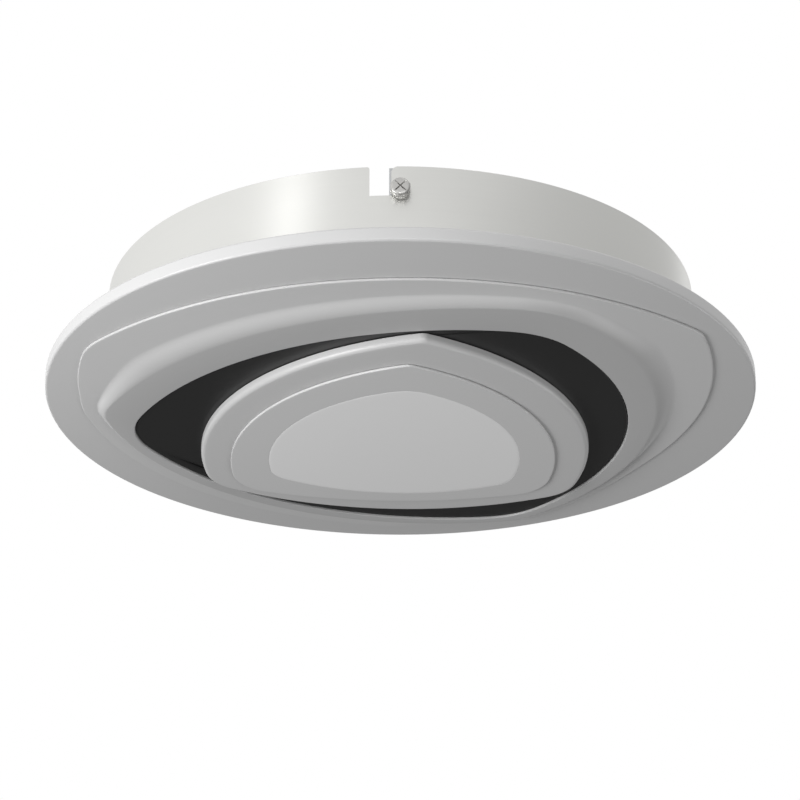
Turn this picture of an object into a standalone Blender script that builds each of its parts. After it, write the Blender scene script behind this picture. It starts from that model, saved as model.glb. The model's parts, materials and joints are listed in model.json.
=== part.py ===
"""Round surface-mounted LED ceiling lamp.

A satin metal canopy hangs on two side screws of a ceiling bar by bayonet slots. It carries a
sheet-metal pan with the LED boards below and the driver and terminal block above, and a round
acrylic light cover with stepped, rounded-triangle layers. Metres, +Z up. The origin is the centre
of the bar's ceiling face, and the side with the visible notch faces -Y.
"""

import math

import bmesh
import bpy
import numpy as np
from mathutils import Matrix, Vector

# ---------------------------------------------------------------- fits and resolution
GAP = 0.0003                # between pieces that touch
RUN = 0.0004                # radial play of a screw in its hole
WELD = 0.00001              # distance at which points are merged
TURN_STEPS = 64             # facets round the large turned pieces
ROUND_STEPS = 20            # facets round the middle-sized ones
HOLE_STEPS = 12
POLAR_STEPS = 90            # columns of the contour ring
EDGE_STEPS = 2              # facets on a rounded edge
BEND_STEPS = 5
CORNER_STEPS = 5            # facets on a rounded triangle's corner, and on its side
SIDE_STEPS = 8
FINE_STEPS = 80             # the same where only the outline's radius is read
SMOOTH_ANGLE = 30           # degrees between faces that still shade as one
BEVEL_ANGLE = 40            # degrees from which an edge is rounded

# ---------------------------------------------------------------- light cover
DISC_DIAMETER = 0.400
DISC_THICKNESS = 0.0082
DISC_EDGE = 0.0015          # radius of the rim's edges
DISC_SKIN = 0.003           # wall below the light box
STEP_DROP = 0.0015          # first step of the contour ring, below the disc's face
CREST_DROP = 0.0060         # ring face, below the disc's face
PANEL_DROP = 0.0050         # black panel, below the disc's face
BODY_RISE = 0.0055          # centre body's height over the black panel
BODY_EDGE = 0.0028          # rounding of the centre body's edge
PLATE_RISE = 0.0015         # thin step plate's height over the centre body
COVE_POWER = 2.5            # how late the cove turns down towards the crest
FOOT_WIDTH = 0.011          # least run of the ring's outer slope
FOOT_BLEND = 0.010          # softness where the slope's foot leaves the first step
PANEL_PLAY = 0.0006         # round the black panel
PANEL_LIP = 0.004           # how far the centre body laps over the panel's hole
COVE_ROWS = (0.0, 0.3, 0.6, 0.8, 1.0)

# Rounded triangles, in shares of the disc's radius: three corners (x, y, radius), and the radius
# of the side that follows each corner, anticlockwise from below -Y.
STEP_OUTLINE = (((0.714, -0.412, 0.109), (-0.020, 0.698, 0.203), (-0.652, -0.274, 0.223)),
                (1.049, 0.998, 1.131))
CREST_OUTLINE = (((0.269, -0.368, 0.300), (0.329, 0.728, 0.074), (-0.695, 0.018, 0.139)),
                 (0.956, 0.978, 1.120))
PANEL_OUTLINE = (((0.253, -0.284, 0.252), (0.232, 0.536, 0.252), (-0.501, 0.132, 0.259)),
                 (0.872, 0.992, 0.982))
BODY_OUTLINE = (((0.058, -0.486, 0.035), (0.378, 0.435, 0.148), (-0.429, 0.377, 0.145)),
                (0.883, 0.957, 0.835))
PLATE_OUTLINE = (((0.020, -0.350, 0.032), (0.305, 0.394, 0.135), (-0.347, 0.364, 0.145)),
                 (0.738, 1.198, 0.723))
LENS_OUTLINE = (((0.013, -0.099, 0.123), (0.244, 0.366, 0.091), (-0.293, 0.327, 0.087)),
                (0.541, 0.636, 0.520))

# ---------------------------------------------------------------- canopy and pan
CEILING_GAP = 0.001
CANOPY_DIAMETER = 0.3334
CANOPY_HEIGHT = 0.051
CANOPY_WALL = 0.001
CANOPY_FLANGE = 0.016
CANOPY_BEND = 0.002
GASKET_THICKNESS = 0.0012
GASKET_WIDTH = 0.012
WIRING_DEPTH = 0.0252       # from the canopy's top edge to the pan
PAN_SHEET = 0.001
PAN_DRAFT = 0.007           # how much the pan's skirt spreads
PAN_PLAY = 0.0015
ASSEMBLY_SCREWS = 4
ASSEMBLY_SCREW_RADIUS = 0.00175
ASSEMBLY_SCREW_GRIP = 0.0045    # thread inside the disc
PAN_HEAD_RADIUS = 0.0034
PAN_HEAD_HEIGHT = 0.0022
PAN_HEAD_CROWN = 0.6        # flat top, as a share of the head
RECESS_LENGTH = 1.1         # cross recess, as shares of the head's radius
RECESS_WIDTH = 0.25
SCREW_POINT = 0.33          # blunt tip, as a share of the shank

# ---------------------------------------------------------------- clamp, notch and bar
SCREW_DROP = 0.0148         # clamp screw below the canopy's top edge
SHANK_RADIUS = 0.002
CLAMP_HEAD_WIDTH = 0.0104   # across the flats of the eight-sided head
CLAMP_HEAD_DEPTH = 0.005
CLAMP_HEAD_SIDES = 8
SMALL_ROUND = 0.0005        # edges of small pieces
CROSS_WIDTH = 0.0015
CROSS_LENGTH = 0.0066
CROSS_DEPTH = 0.0016
WASHER_RADIUS = 0.0049
WASHER_THICKNESS = 0.0008
SCREW_REACH = 0.0095        # shank behind the washer
NOTCH_WIDTH = 0.0114
NOTCH_DEPTH = 0.0172
NOTCH_SHIFT = 0.0104        # notch centre to the end of the bayonet slot
NOTCH_SMALL_CORNER = 0.0015
NOTCH_LARGE_CORNER = 0.0030
NOTCH_REACH = 0.004         # how far its cutter runs to each side of the wall
BAR_WIDTH = 0.020
BAR_END_WIDTH = 0.0118
BAR_THICKNESS = 0.0015
BAR_NECK = 0.040            # narrow stretch at each end
BAR_TAPER = 0.006
BAR_BEND = 0.0015           # inner radius of the turned-down ends
BAR_PLAY = 0.0006           # between the bar's ends and the canopy's wall
TAB_MARGIN = 0.006          # end below the screw's axis
SLOT_WIDTH = 0.005
SLOT_START = 0.022
SLOT_END = 0.078
NUT_WIDTH = 0.007
NUT_THICKNESS = 0.0032

# ---------------------------------------------------------------- LED boards
BOARD_THICKNESS = 0.0016
RING_BOARDS = 4
RING_BOARD_WIDTH = 0.026
RING_BOARD_MARGIN = 0.006   # to the pan's skirt
RING_BOARD_GAP = 0.008
RING_CHIPS = 9
CENTRE_BOARD_RADIUS = 0.044
CENTRE_CHIPS = 8
CENTRE_CHIP_RADIUS = 0.0273
CHIP_SIZE = (0.0035, 0.0028, 0.0006)
CHIP_SINK = 0.0002          # chip below the board's face
LINK_WIDTH = 0.005
LINK_THICKNESS = 0.0008
LINK_LAP = 0.005
LINK_ANGLE = -45            # degrees, the jumper to the centre board

# ---------------------------------------------------------------- driver
DRIVER_X = 0.045
DRIVER_WIDTH = 0.036
DRIVER_LENGTH = 0.112
DRIVER_HEIGHT = 0.0185
DRIVER_WALL = 0.0018
LID_THICKNESS = 0.002
LID_LIP = 0.0025
EAR_LENGTH = 0.010
EAR_WIDTH = 0.014
EAR_THICKNESS = 0.0025
SMALL_SCREW_RADIUS = 0.0015
SMALL_SCREW_TIP = 0.0025    # below the pan's sheet
RIB_HEIGHT = 0.0022
MAINS_PORT_X = {"neutral": -0.008, "live": 0.002}       # from the driver's middle
LED_PORT_X = {"negative": -0.009, "positive": -0.004}
PORT_RISE = 0.0035          # above the seat of the board's parts
CORE_SIZE = (0.015, 0.018, 0.0070)
CORE_Y = 0.012
WINDING_RADIUS = 0.0048
WINDING_PROUD = 0.0012      # beyond the core on both sides
WINDING_LIFT = 0.0002
INPUT_CAPACITOR = (0.0045, 0.015, 0.006, -0.016)        # radius, length, place from the middle
OUTPUT_CAPACITOR = (0.0040, 0.013, 0.006, 0.036)
FILM_SIZE = (0.006, 0.013, 0.0085)
FILM_PLACE = (-0.008, -0.018)
COIL_RADII = (0.0052, 0.0024)                           # ring, winding
COIL_PLACE = (-0.006, 0.0355)

# ---------------------------------------------------------------- terminal block and leads
TERMINAL_X = -0.040
TERMINAL_SIZE = (0.033, 0.022, 0.015)
POLE_PITCH = 0.010
POLES = ("live", "earth", "neutral")
WELL_SIZE = (0.0062, 0.0100, 0.0095)
WELL_Y = 0.0035
BUTTON_HEIGHT = 0.0060
BUTTON_PROUD = 0.0020
BUTTON_PLAY = 0.0004
WIRE_HOLE_RADIUS = 0.0018
WIRE_RISE = 0.0040          # wire holes above the deck
CLAMP_STRIP = 0.0005
FOOT_LENGTH = 0.010
FOOT_THICKNESS = 0.0025
MAINS_LEAD_RADIUS = 0.0011
LED_LEAD_RADIUS = 0.0009
LEAD_STEPS = 20
LEAD_STRAIGHT = 0.006       # run of a lead straight out of a hole
LEAD_INSIDE = 0.003         # lead's end behind the driver's wall
GROMMET_SHIFT = 0.014       # beyond the driver's end
GROMMET_BORE = 0.0030
GROMMET_WALL = 0.0012
GROMMET_FLANGE = 0.0016
EARTH_POINT = (-0.040, -0.045)
LUG_RADIUS = 0.0038
LUG_TAIL = 0.0091           # from the hole to the tail's end
LUG_TAIL_WIDTH = 0.0034
LUG_THICKNESS = 0.0008

# ---------------------------------------------------------------- places worked out
DISC_RADIUS = DISC_DIAMETER / 2
CANOPY_OUTER = CANOPY_DIAMETER / 2
CANOPY_INNER = CANOPY_OUTER - CANOPY_WALL
CANOPY_TOP = -CEILING_GAP
CANOPY_FOOT = CANOPY_TOP - CANOPY_HEIGHT
FLANGE_INNER = CANOPY_INNER - CANOPY_FLANGE
ASSEMBLY_CIRCLE = CANOPY_INNER - CANOPY_FLANGE / 2
GASKET_TOP = CANOPY_FOOT - GAP
GASKET_FOOT = GASKET_TOP - GASKET_THICKNESS
DISC_TOP = GASKET_FOOT - GAP
DISC_FACE = DISC_TOP - DISC_THICKNESS
PANEL_FACE = DISC_FACE - PANEL_DROP
BODY_FACE = PANEL_FACE - BODY_RISE
PLATE_FACE = BODY_FACE - PLATE_RISE

PAN_TOP = CANOPY_TOP - WIRING_DEPTH
PAN_UNDER = PAN_TOP - PAN_SHEET
PAN_FLANGE_TOP = CANOPY_FOOT + CANOPY_WALL + GAP + PAN_SHEET
PAN_FOOT_RADIUS = FLANGE_INNER - 2 * PAN_SHEET
PAN_TOP_RADIUS = PAN_FOOT_RADIUS - PAN_DRAFT
DECK = PAN_TOP + GAP        # where things stand on the pan

SCREW_Z = CANOPY_TOP - SCREW_DROP
BAR_END = math.sqrt(CANOPY_INNER ** 2 - (BAR_END_WIDTH / 2) ** 2) - BAR_PLAY
TAB_FOOT = SCREW_Z - TAB_MARGIN
WASHER_SEAT = CANOPY_OUTER + GAP

BOARD_TOP = PAN_UNDER - GAP
BOARD_FACE = BOARD_TOP - BOARD_THICKNESS
RING_BOARD_OUTER = PAN_TOP_RADIUS - RING_BOARD_MARGIN
RING_BOARD_INNER = RING_BOARD_OUTER - RING_BOARD_WIDTH

DRIVER_FLOOR = DECK + DRIVER_WALL
DRIVER_RIM = DECK + DRIVER_HEIGHT - LID_THICKNESS - GAP
BOARD_SEAT = DRIVER_FLOOR + RIB_HEIGHT + GAP
DRIVER_PART_SEAT = BOARD_SEAT + BOARD_THICKNESS + GAP
EAR_Y = (DRIVER_LENGTH + EAR_LENGTH) / 2
PORT_Z = DRIVER_PART_SEAT + PORT_RISE
GROMMET_Y = DRIVER_LENGTH / 2 + GROMMET_SHIFT

TERMINAL_TOP = DECK + TERMINAL_SIZE[2]
FOOT_X = TERMINAL_X - (TERMINAL_SIZE[0] + FOOT_LENGTH) / 2
WIRE_Z = DECK + WIRE_RISE

# ---------------------------------------------------------------- finishes
FINISHES = {
    "satin_metal": ((0.62, 0.62, 0.59), 1.0, 0.38),
    "zinc_steel": ((0.58, 0.59, 0.60), 1.0, 0.32),
    "nickel_screw": ((0.70, 0.70, 0.70), 1.0, 0.22),
    "white_sheet": ((0.82, 0.82, 0.81), 0.0, 0.45),
    "opal_acrylic": ((0.72, 0.72, 0.72), 0.0, 0.35),
    "opal_lens": ((0.80, 0.80, 0.80), 0.0, 0.30),
    "black_acrylic": ((0.018, 0.018, 0.018), 0.0, 0.40),
    "foam": ((0.08, 0.08, 0.08), 0.0, 0.90),
    "board_white": ((0.85, 0.85, 0.83), 0.0, 0.50),
    "board_green": ((0.03, 0.20, 0.08), 0.0, 0.45),
    "case_white": ((0.75, 0.75, 0.73), 0.0, 0.50),
    "terminal_white": ((0.80, 0.80, 0.78), 0.0, 0.45),
    "button_orange": ((0.85, 0.30, 0.05), 0.0, 0.45),
    "spring_steel": ((0.65, 0.65, 0.66), 1.0, 0.28),
    "ferrite": ((0.04, 0.04, 0.045), 0.0, 0.60),
    "capacitor_sleeve": ((0.03, 0.04, 0.10), 0.0, 0.35),
    "film_yellow": ((0.75, 0.55, 0.08), 0.0, 0.40),
    "rubber_grey": ((0.20, 0.20, 0.20), 0.0, 0.80),
    "lead_brown": ((0.16, 0.06, 0.02), 0.0, 0.50),
    "lead_blue": ((0.03, 0.12, 0.45), 0.0, 0.50),
    "lead_green": ((0.10, 0.45, 0.05), 0.0, 0.50),
    "lead_red": ((0.50, 0.03, 0.03), 0.0, 0.50),
    "lead_black": ((0.02, 0.02, 0.02), 0.0, 0.50),
}


# ---------------------------------------------------------------- scene helpers
def clear_scene():
    for obj in list(bpy.data.objects):
        bpy.data.objects.remove(obj, do_unlink=True)


def new_collection(name):
    collection = bpy.data.collections.new(name)
    bpy.context.scene.collection.children.link(collection)
    return collection


def finish_material(name):
    material = bpy.data.materials.get(name)
    if material is None:
        colour, metallic, roughness = FINISHES[name]
        material = bpy.data.materials.new(name)
        material.use_nodes = True
        shader = material.node_tree.nodes["Principled BSDF"]
        shader.inputs["Base Color"].default_value = (*colour, 1.0)
        shader.inputs["Metallic"].default_value = metallic
        shader.inputs["Roughness"].default_value = roughness
    return material


def place(obj, location, rotation):
    obj.location = location
    obj.rotation_euler = rotation


def add_piece(name, mesh, finish, location=(0, 0, 0), rotation=(0, 0, 0)):
    """One node of the lamp, shaded smooth with sharp edges kept."""
    obj = bpy.data.objects.new(name, mesh)
    LAMP.objects.link(obj)
    mesh.materials.append(finish_material(finish))
    if len(mesh.polygons):
        mesh.shade_smooth()
        mesh.set_sharp_from_angle(angle=math.radians(SMOOTH_ANGLE))
    place(obj, location, rotation)
    return obj


def add_cutter(name, mesh, location=(0, 0, 0), rotation=(0, 0, 0)):
    obj = bpy.data.objects.new(name, mesh)
    CUTTERS.objects.link(obj)
    obj.hide_render = True
    obj.display_type = "WIRE"
    place(obj, location, rotation)
    return obj


def add_empty(name, location=(0, 0, 0)):
    obj = bpy.data.objects.new(name, None)
    obj.empty_display_size = 0.01
    obj.location = location
    LAMP.objects.link(obj)
    return obj


def ride_on(empty, pieces):
    """Parent the pieces to an unturned empty without moving them."""
    for piece in pieces:
        piece.parent = empty
        piece.matrix_parent_inverse = Matrix.Translation(-Vector(empty.location))


def combine(obj, cutter, operation):
    modifier = obj.modifiers.new(f"{operation.lower()} {cutter.name}", "BOOLEAN")
    modifier.operation = operation
    modifier.object = cutter
    modifier.solver = "EXACT"


def cut(obj, *cutters):
    for cutter in cutters:
        combine(obj, cutter, "DIFFERENCE")


def unite(obj, *others):
    for other in others:
        combine(obj, other, "UNION")


def round_edges(obj, width=SMALL_ROUND):
    modifier = obj.modifiers.new("rounded edges", "BEVEL")
    modifier.width = width
    modifier.segments = EDGE_STEPS
    modifier.limit_method = "ANGLE"
    modifier.angle_limit = math.radians(BEVEL_ANGLE)


# ---------------------------------------------------------------- mesh helpers
def box_mesh(name, size, centre=(0, 0, 0)):
    mesh = bpy.data.meshes.new(name)
    bm = bmesh.new()
    bmesh.ops.create_cube(bm, size=1.0)
    bmesh.ops.scale(bm, vec=size, verts=bm.verts)
    bmesh.ops.translate(bm, vec=centre, verts=bm.verts)
    bm.to_mesh(mesh)
    bm.free()
    return mesh


def boxes_mesh(name, size, matrices):
    """Equal boxes at several places in one mesh."""
    mesh = bpy.data.meshes.new(name)
    bm = bmesh.new()
    for matrix in matrices:
        made = bmesh.ops.create_cube(bm, size=1.0)
        bmesh.ops.scale(bm, vec=size, verts=made["verts"])
        bmesh.ops.transform(bm, matrix=matrix, verts=made["verts"])
    bm.to_mesh(mesh)
    bm.free()
    return mesh


def rod_mesh(name, radius, low, high, steps=HOLE_STEPS):
    """Cylinder along Z from low to high."""
    mesh = bpy.data.meshes.new(name)
    bm = bmesh.new()
    bmesh.ops.create_cone(
        bm, cap_ends=True, segments=steps, radius1=radius, radius2=radius, depth=high - low)
    bmesh.ops.translate(bm, vec=(0, 0, (low + high) / 2), verts=bm.verts)
    bm.to_mesh(mesh)
    bm.free()
    return mesh


def profile_mesh(name, points, closed):
    """Profile in the XZ plane, for a Screw modifier."""
    mesh = bpy.data.meshes.new(name)
    edges = [(i, i + 1) for i in range(len(points) - 1)]
    if closed:
        edges.append((len(points) - 1, 0))
    mesh.from_pydata([(r, 0, z) for r, z in points], edges, [])
    return mesh


def turn(obj, steps=TURN_STEPS):
    modifier = obj.modifiers.new("turned", "SCREW")
    modifier.axis = "Z"
    modifier.angle = math.tau
    modifier.steps = steps
    modifier.render_steps = steps
    modifier.use_merge_vertices = True
    modifier.merge_threshold = WELD
    modifier.use_smooth_shade = True


def arc(centre, radius, start, end, steps):
    """Points on an arc, in degrees, both ends included."""
    angles = np.radians(np.linspace(start, end, steps + 1))
    return [(centre[0] + radius * math.cos(a), centre[1] + radius * math.sin(a)) for a in angles]


def circle(centre, radius, steps=HOLE_STEPS):
    return arc(centre, radius, 0, 360, steps)[:-1]


def plate_mesh(name, loops, low, high, edge=0.0):
    """Flat plate between two heights from an outer loop and its holes.

    With an edge, the outer loop's lower edge is rounded by that radius.
    """
    curve = bpy.data.curves.new(name, "CURVE")
    curve.dimensions = "2D"
    curve.fill_mode = "BOTH"
    curve.extrude = (high - low) / 2
    for loop in loops:
        spline = curve.splines.new("POLY")
        spline.points.add(len(loop) - 1)
        for point, (x, y) in zip(spline.points, loop):
            point.co = (x, y, 0, 1)
        spline.use_cyclic_u = True
    holder = bpy.data.objects.new(name, curve)
    bpy.context.scene.collection.objects.link(holder)
    evaluated = holder.evaluated_get(bpy.context.evaluated_depsgraph_get())
    mesh = bpy.data.meshes.new_from_object(evaluated)
    bpy.data.objects.remove(holder)
    bpy.data.curves.remove(curve)
    mesh.materials.clear()

    bm = bmesh.new()
    bm.from_mesh(mesh)
    bmesh.ops.remove_doubles(bm, verts=bm.verts, dist=WELD / 10)
    bmesh.ops.translate(bm, vec=(0, 0, (low + high) / 2), verts=bm.verts)
    bmesh.ops.recalc_face_normals(bm, faces=bm.faces)
    if edge > 0:
        bmesh.ops.dissolve_limit(bm, angle_limit=math.radians(0.5), verts=bm.verts, edges=bm.edges)
        middle = (low + high) / 2
        rim = [e for e in bm.edges if all(v.co.z < middle for v in e.verts)]
        bmesh.ops.bevel(bm, geom=rim, offset=edge, segments=4, profile=0.5, affect="EDGES")
    bm.to_mesh(mesh)
    bm.free()
    return mesh


# ---------------------------------------------------------------- rounded triangles
def side_centre(corner, following, radius):
    """Centre of the arc that touches both corner circles from outside."""
    start, end = Vector(corner[:2]), Vector(following[:2])
    reach_start, reach_end = radius - corner[2], radius - following[2]
    run = end - start
    length = run.length
    along = (reach_start ** 2 - reach_end ** 2 + length ** 2) / (2 * length)
    across = math.sqrt(reach_start ** 2 - along ** 2)
    direction = run / length
    return start + direction * along + Vector((-direction.y, direction.x)) * across


def rising(start, end):
    """The second angle, raised by whole turns until it follows the first."""
    while end < start:
        end += math.tau
    return end


def outline_points(outline, inset=0.0, corner_steps=CORNER_STEPS, side_steps=SIDE_STEPS):
    """Closed loop of a rounded triangle in metres, moved inwards by the inset."""
    corners, side_radii = outline
    corners = [tuple(value * DISC_RADIUS for value in corner) for corner in corners]
    side_radii = [radius * DISC_RADIUS for radius in side_radii]
    centres = [side_centre(corners[i], corners[(i + 1) % 3], side_radii[i]) for i in range(3)]
    points = []
    for i, corner in enumerate(corners):
        middle = Vector(corner[:2])
        following = Vector(corners[(i + 1) % 3][:2])
        before, after = middle - centres[i - 1], middle - centres[i]
        start = math.atan2(before.y, before.x)
        end = rising(start, math.atan2(after.y, after.x))
        points += arc(middle, corner[2] - inset, math.degrees(start), math.degrees(end), corner_steps)
        far = following - centres[i]
        start = math.atan2(after.y, after.x)
        end = rising(start, math.atan2(far.y, far.x))
        side = arc(centres[i], side_radii[i] - inset, math.degrees(start), math.degrees(end), side_steps)
        points += side[1:-1]
    return points


def outline_radii(outline, angles):
    """Distance of a rounded triangle from the lamp's axis at the given angles."""
    loop = np.array(outline_points(outline, 0.0, FINE_STEPS, FINE_STEPS))
    direction = np.arctan2(loop[:, 1], loop[:, 0])
    order = np.argsort(direction)
    return np.interp(angles, direction[order], np.hypot(*loop[order].T), period=math.tau)


# ---------------------------------------------------------------- light cover
def build_outer_diffuser():
    rim, edge = DISC_RADIUS, DISC_EDGE
    pocket = PAN_FOOT_RADIUS - PAN_SHEET
    profile = [(0, DISC_FACE + DISC_SKIN), (pocket, DISC_FACE + DISC_SKIN), (pocket, DISC_TOP)]
    profile += arc((rim - edge, DISC_TOP - edge), edge, 90, 0, EDGE_STEPS)
    profile += arc((rim - edge, DISC_FACE + edge), edge, 0, -90, EDGE_STEPS)
    profile += [(0, DISC_FACE)]
    disc = add_piece("outer_diffuser", profile_mesh("outer_diffuser", profile, False), "opal_acrylic")
    turn(disc)
    cut(disc, assembly_holes("disc pilot holes", DISC_TOP - ASSEMBLY_SCREW_GRIP - 2 * GAP, DISC_TOP + GAP))
    return disc


def build_contour_ring():
    """Raised ring with a cove outside, lofted between three rounded triangles."""
    angles = np.linspace(-math.pi, math.pi, POLAR_STEPS, endpoint=False)
    crest = outline_radii(CREST_OUTLINE, angles)
    inner = outline_radii(PANEL_OUTLINE, angles)
    step = outline_radii(STEP_OUTLINE, angles)
    least = crest + FOOT_WIDTH
    foot = (step + least + np.sqrt((step - least) ** 2 + FOOT_BLEND ** 2)) / 2
    rows = [(foot, DISC_FACE - GAP)]
    for share in COVE_ROWS:
        drop = STEP_DROP + (CREST_DROP - STEP_DROP) * share ** COVE_POWER
        rows.append((foot + (crest - foot) * share, DISC_FACE - drop))
    rows.append((inner, DISC_FACE - CREST_DROP))
    rows.append((inner, DISC_FACE - GAP))

    bm = bmesh.new()
    loops = []
    for radii, z in rows:
        loops.append([bm.verts.new((r * math.cos(a), r * math.sin(a), z)) for r, a in zip(radii, angles)])
    for loop, following in zip(loops, loops[1:] + loops[:1]):
        for i in range(POLAR_STEPS):
            j = (i + 1) % POLAR_STEPS
            bm.faces.new((loop[i], following[i], following[j], loop[j]))
    bmesh.ops.recalc_face_normals(bm, faces=bm.faces)
    mesh = bpy.data.meshes.new("contour_ring")
    bm.to_mesh(mesh)
    bm.free()
    return add_piece("contour_ring", mesh, "opal_acrylic")


def build_black_panel():
    outer = outline_points(PANEL_OUTLINE, PANEL_PLAY, 2 * CORNER_STEPS, 2 * SIDE_STEPS)
    loops = [outer, outline_points(BODY_OUTLINE, PANEL_LIP)]
    mesh = plate_mesh("black_panel", loops, PANEL_FACE, DISC_FACE - GAP)
    return add_piece("black_panel", mesh, "black_acrylic")


def build_centre_diffuser():
    """Thick body whose neck passes the black panel's hole."""
    body = plate_mesh(
        "centre_diffuser", [outline_points(BODY_OUTLINE)], BODY_FACE, PANEL_FACE - GAP, BODY_EDGE)
    piece = add_piece("centre_diffuser", body, "opal_acrylic")
    neck_loop = outline_points(BODY_OUTLINE, PANEL_LIP + PANEL_PLAY)
    neck = plate_mesh("centre neck", [neck_loop], PANEL_FACE - BODY_RISE / 2, DISC_FACE - GAP)
    unite(piece, add_cutter("centre neck", neck))
    return piece


def build_step_plate():
    loops = [outline_points(PLATE_OUTLINE), outline_points(LENS_OUTLINE)]
    mesh = plate_mesh("centre_step_plate", loops, PLATE_FACE, BODY_FACE - GAP)
    return add_piece("centre_step_plate", mesh, "opal_acrylic")


def build_lens():
    mesh = plate_mesh("centre_lens", [outline_points(LENS_OUTLINE, GAP)], PLATE_FACE, BODY_FACE - GAP)
    return add_piece("centre_lens", mesh, "opal_lens")


# ---------------------------------------------------------------- canopy, pan and their screws
def assembly_angles():
    return [math.tau * (i + 0.5) / ASSEMBLY_SCREWS for i in range(ASSEMBLY_SCREWS)]


def on_circle(radius, angle, z=0.0):
    return (radius * math.cos(angle), radius * math.sin(angle), z)


def assembly_holes(name, low, high):
    """Clearance holes for the assembly screws, in one cutter."""
    mesh = bpy.data.meshes.new(name)
    bm = bmesh.new()
    radius = ASSEMBLY_SCREW_RADIUS + RUN
    for angle in assembly_angles():
        made = bmesh.ops.create_cone(
            bm, cap_ends=True, segments=HOLE_STEPS, radius1=radius, radius2=radius, depth=high - low)
        centre = on_circle(ASSEMBLY_CIRCLE, angle, (low + high) / 2)
        bmesh.ops.translate(bm, vec=centre, verts=made["verts"])
    bm.to_mesh(mesh)
    bm.free()
    return add_cutter(name, mesh)


def notch_outline():
    """Bayonet slot seen from outside: X along the wall, Y up, its blind end at the screw."""
    slot = SHANK_RADIUS + RUN
    left = -NOTCH_SHIFT - NOTCH_WIDTH / 2
    right = -NOTCH_SHIFT + NOTCH_WIDTH / 2
    above = CANOPY_TOP + CEILING_GAP
    small, large = NOTCH_SMALL_CORNER, NOTCH_LARGE_CORNER
    loop = [(left - small, above)]
    loop += arc((left - small, CANOPY_TOP - small), small, 90, 0, EDGE_STEPS)
    loop += [(left, CANOPY_TOP - NOTCH_DEPTH), (right, CANOPY_TOP - NOTCH_DEPTH), (right, SCREW_Z - slot)]
    loop += arc((0, SCREW_Z), slot, -90, 90, SIDE_STEPS)
    loop += [(right, SCREW_Z + slot)]
    loop += arc((right + large, CANOPY_TOP - large), large, 180, 90, BEND_STEPS)
    loop += [(right + large, above)]
    return loop


def build_canopy():
    bend = CANOPY_BEND
    profile = [(CANOPY_OUTER, CANOPY_TOP)]
    profile += arc((CANOPY_OUTER - bend, CANOPY_FOOT + bend), bend, 0, -90, EDGE_STEPS)
    profile += [(FLANGE_INNER, CANOPY_FOOT), (FLANGE_INNER, CANOPY_FOOT + CANOPY_WALL)]
    profile += arc((CANOPY_OUTER - bend, CANOPY_FOOT + bend), bend - CANOPY_WALL, -90, 0, EDGE_STEPS)
    profile += [(CANOPY_INNER, CANOPY_TOP)]
    canopy = add_piece("canopy_shell", profile_mesh("canopy_shell", profile, True), "satin_metal")
    turn(canopy)
    for side, turned in (("front", 0.0), ("rear", math.pi)):
        mesh = plate_mesh(f"{side} notch", [notch_outline()], -NOTCH_REACH, NOTCH_REACH)
        where = Matrix.Rotation(turned, 3, "Z") @ Vector((0, -CANOPY_OUTER, 0))
        cut(canopy, add_cutter(f"{side} notch", mesh, where, (math.pi / 2, 0, turned)))
    cut(canopy, assembly_holes("flange holes", CANOPY_FOOT - GAP, CANOPY_FOOT + CANOPY_WALL + GAP))
    return canopy


def build_gasket():
    outer = CANOPY_INNER - CANOPY_BEND
    inner = outer - GASKET_WIDTH
    profile = [(outer, GASKET_TOP), (outer, GASKET_FOOT), (inner, GASKET_FOOT), (inner, GASKET_TOP)]
    gasket = add_piece("light_gasket", profile_mesh("light_gasket", profile, True), "foam")
    turn(gasket)
    cut(gasket, assembly_holes("gasket holes", GASKET_FOOT - GAP, GASKET_TOP + GAP))
    return gasket


def build_pan():
    profile = [(0, PAN_TOP), (PAN_TOP_RADIUS, PAN_TOP), (PAN_FOOT_RADIUS, PAN_FLANGE_TOP)]
    profile += [(CANOPY_INNER - PAN_PLAY, PAN_FLANGE_TOP)]
    pan = add_piece("led_pan", profile_mesh("led_pan", profile, False), "white_sheet")
    turn(pan)
    sheet = pan.modifiers.new("sheet", "SOLIDIFY")
    sheet.thickness = PAN_SHEET
    sheet.offset = -1
    sheet.use_even_offset = True
    low, high = PAN_UNDER - GAP, PAN_TOP + GAP
    small = SMALL_SCREW_RADIUS + RUN
    spots = [(DRIVER_X, EAR_Y, small), (DRIVER_X, -EAR_Y, small), (FOOT_X, 0, small)]
    spots += [(*EARTH_POINT, small), (0, GROMMET_Y, GROMMET_BORE + GROMMET_WALL + GAP)]
    for i, (x, y, radius) in enumerate(spots):
        cut(pan, add_cutter(f"pan hole {i + 1}", rod_mesh(f"pan hole {i + 1}", radius, low, high), (x, y, 0)))
    flange_low = PAN_FLANGE_TOP - PAN_SHEET
    cut(pan, assembly_holes("pan flange holes", flange_low - GAP, PAN_FLANGE_TOP + GAP))
    return pan


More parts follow.
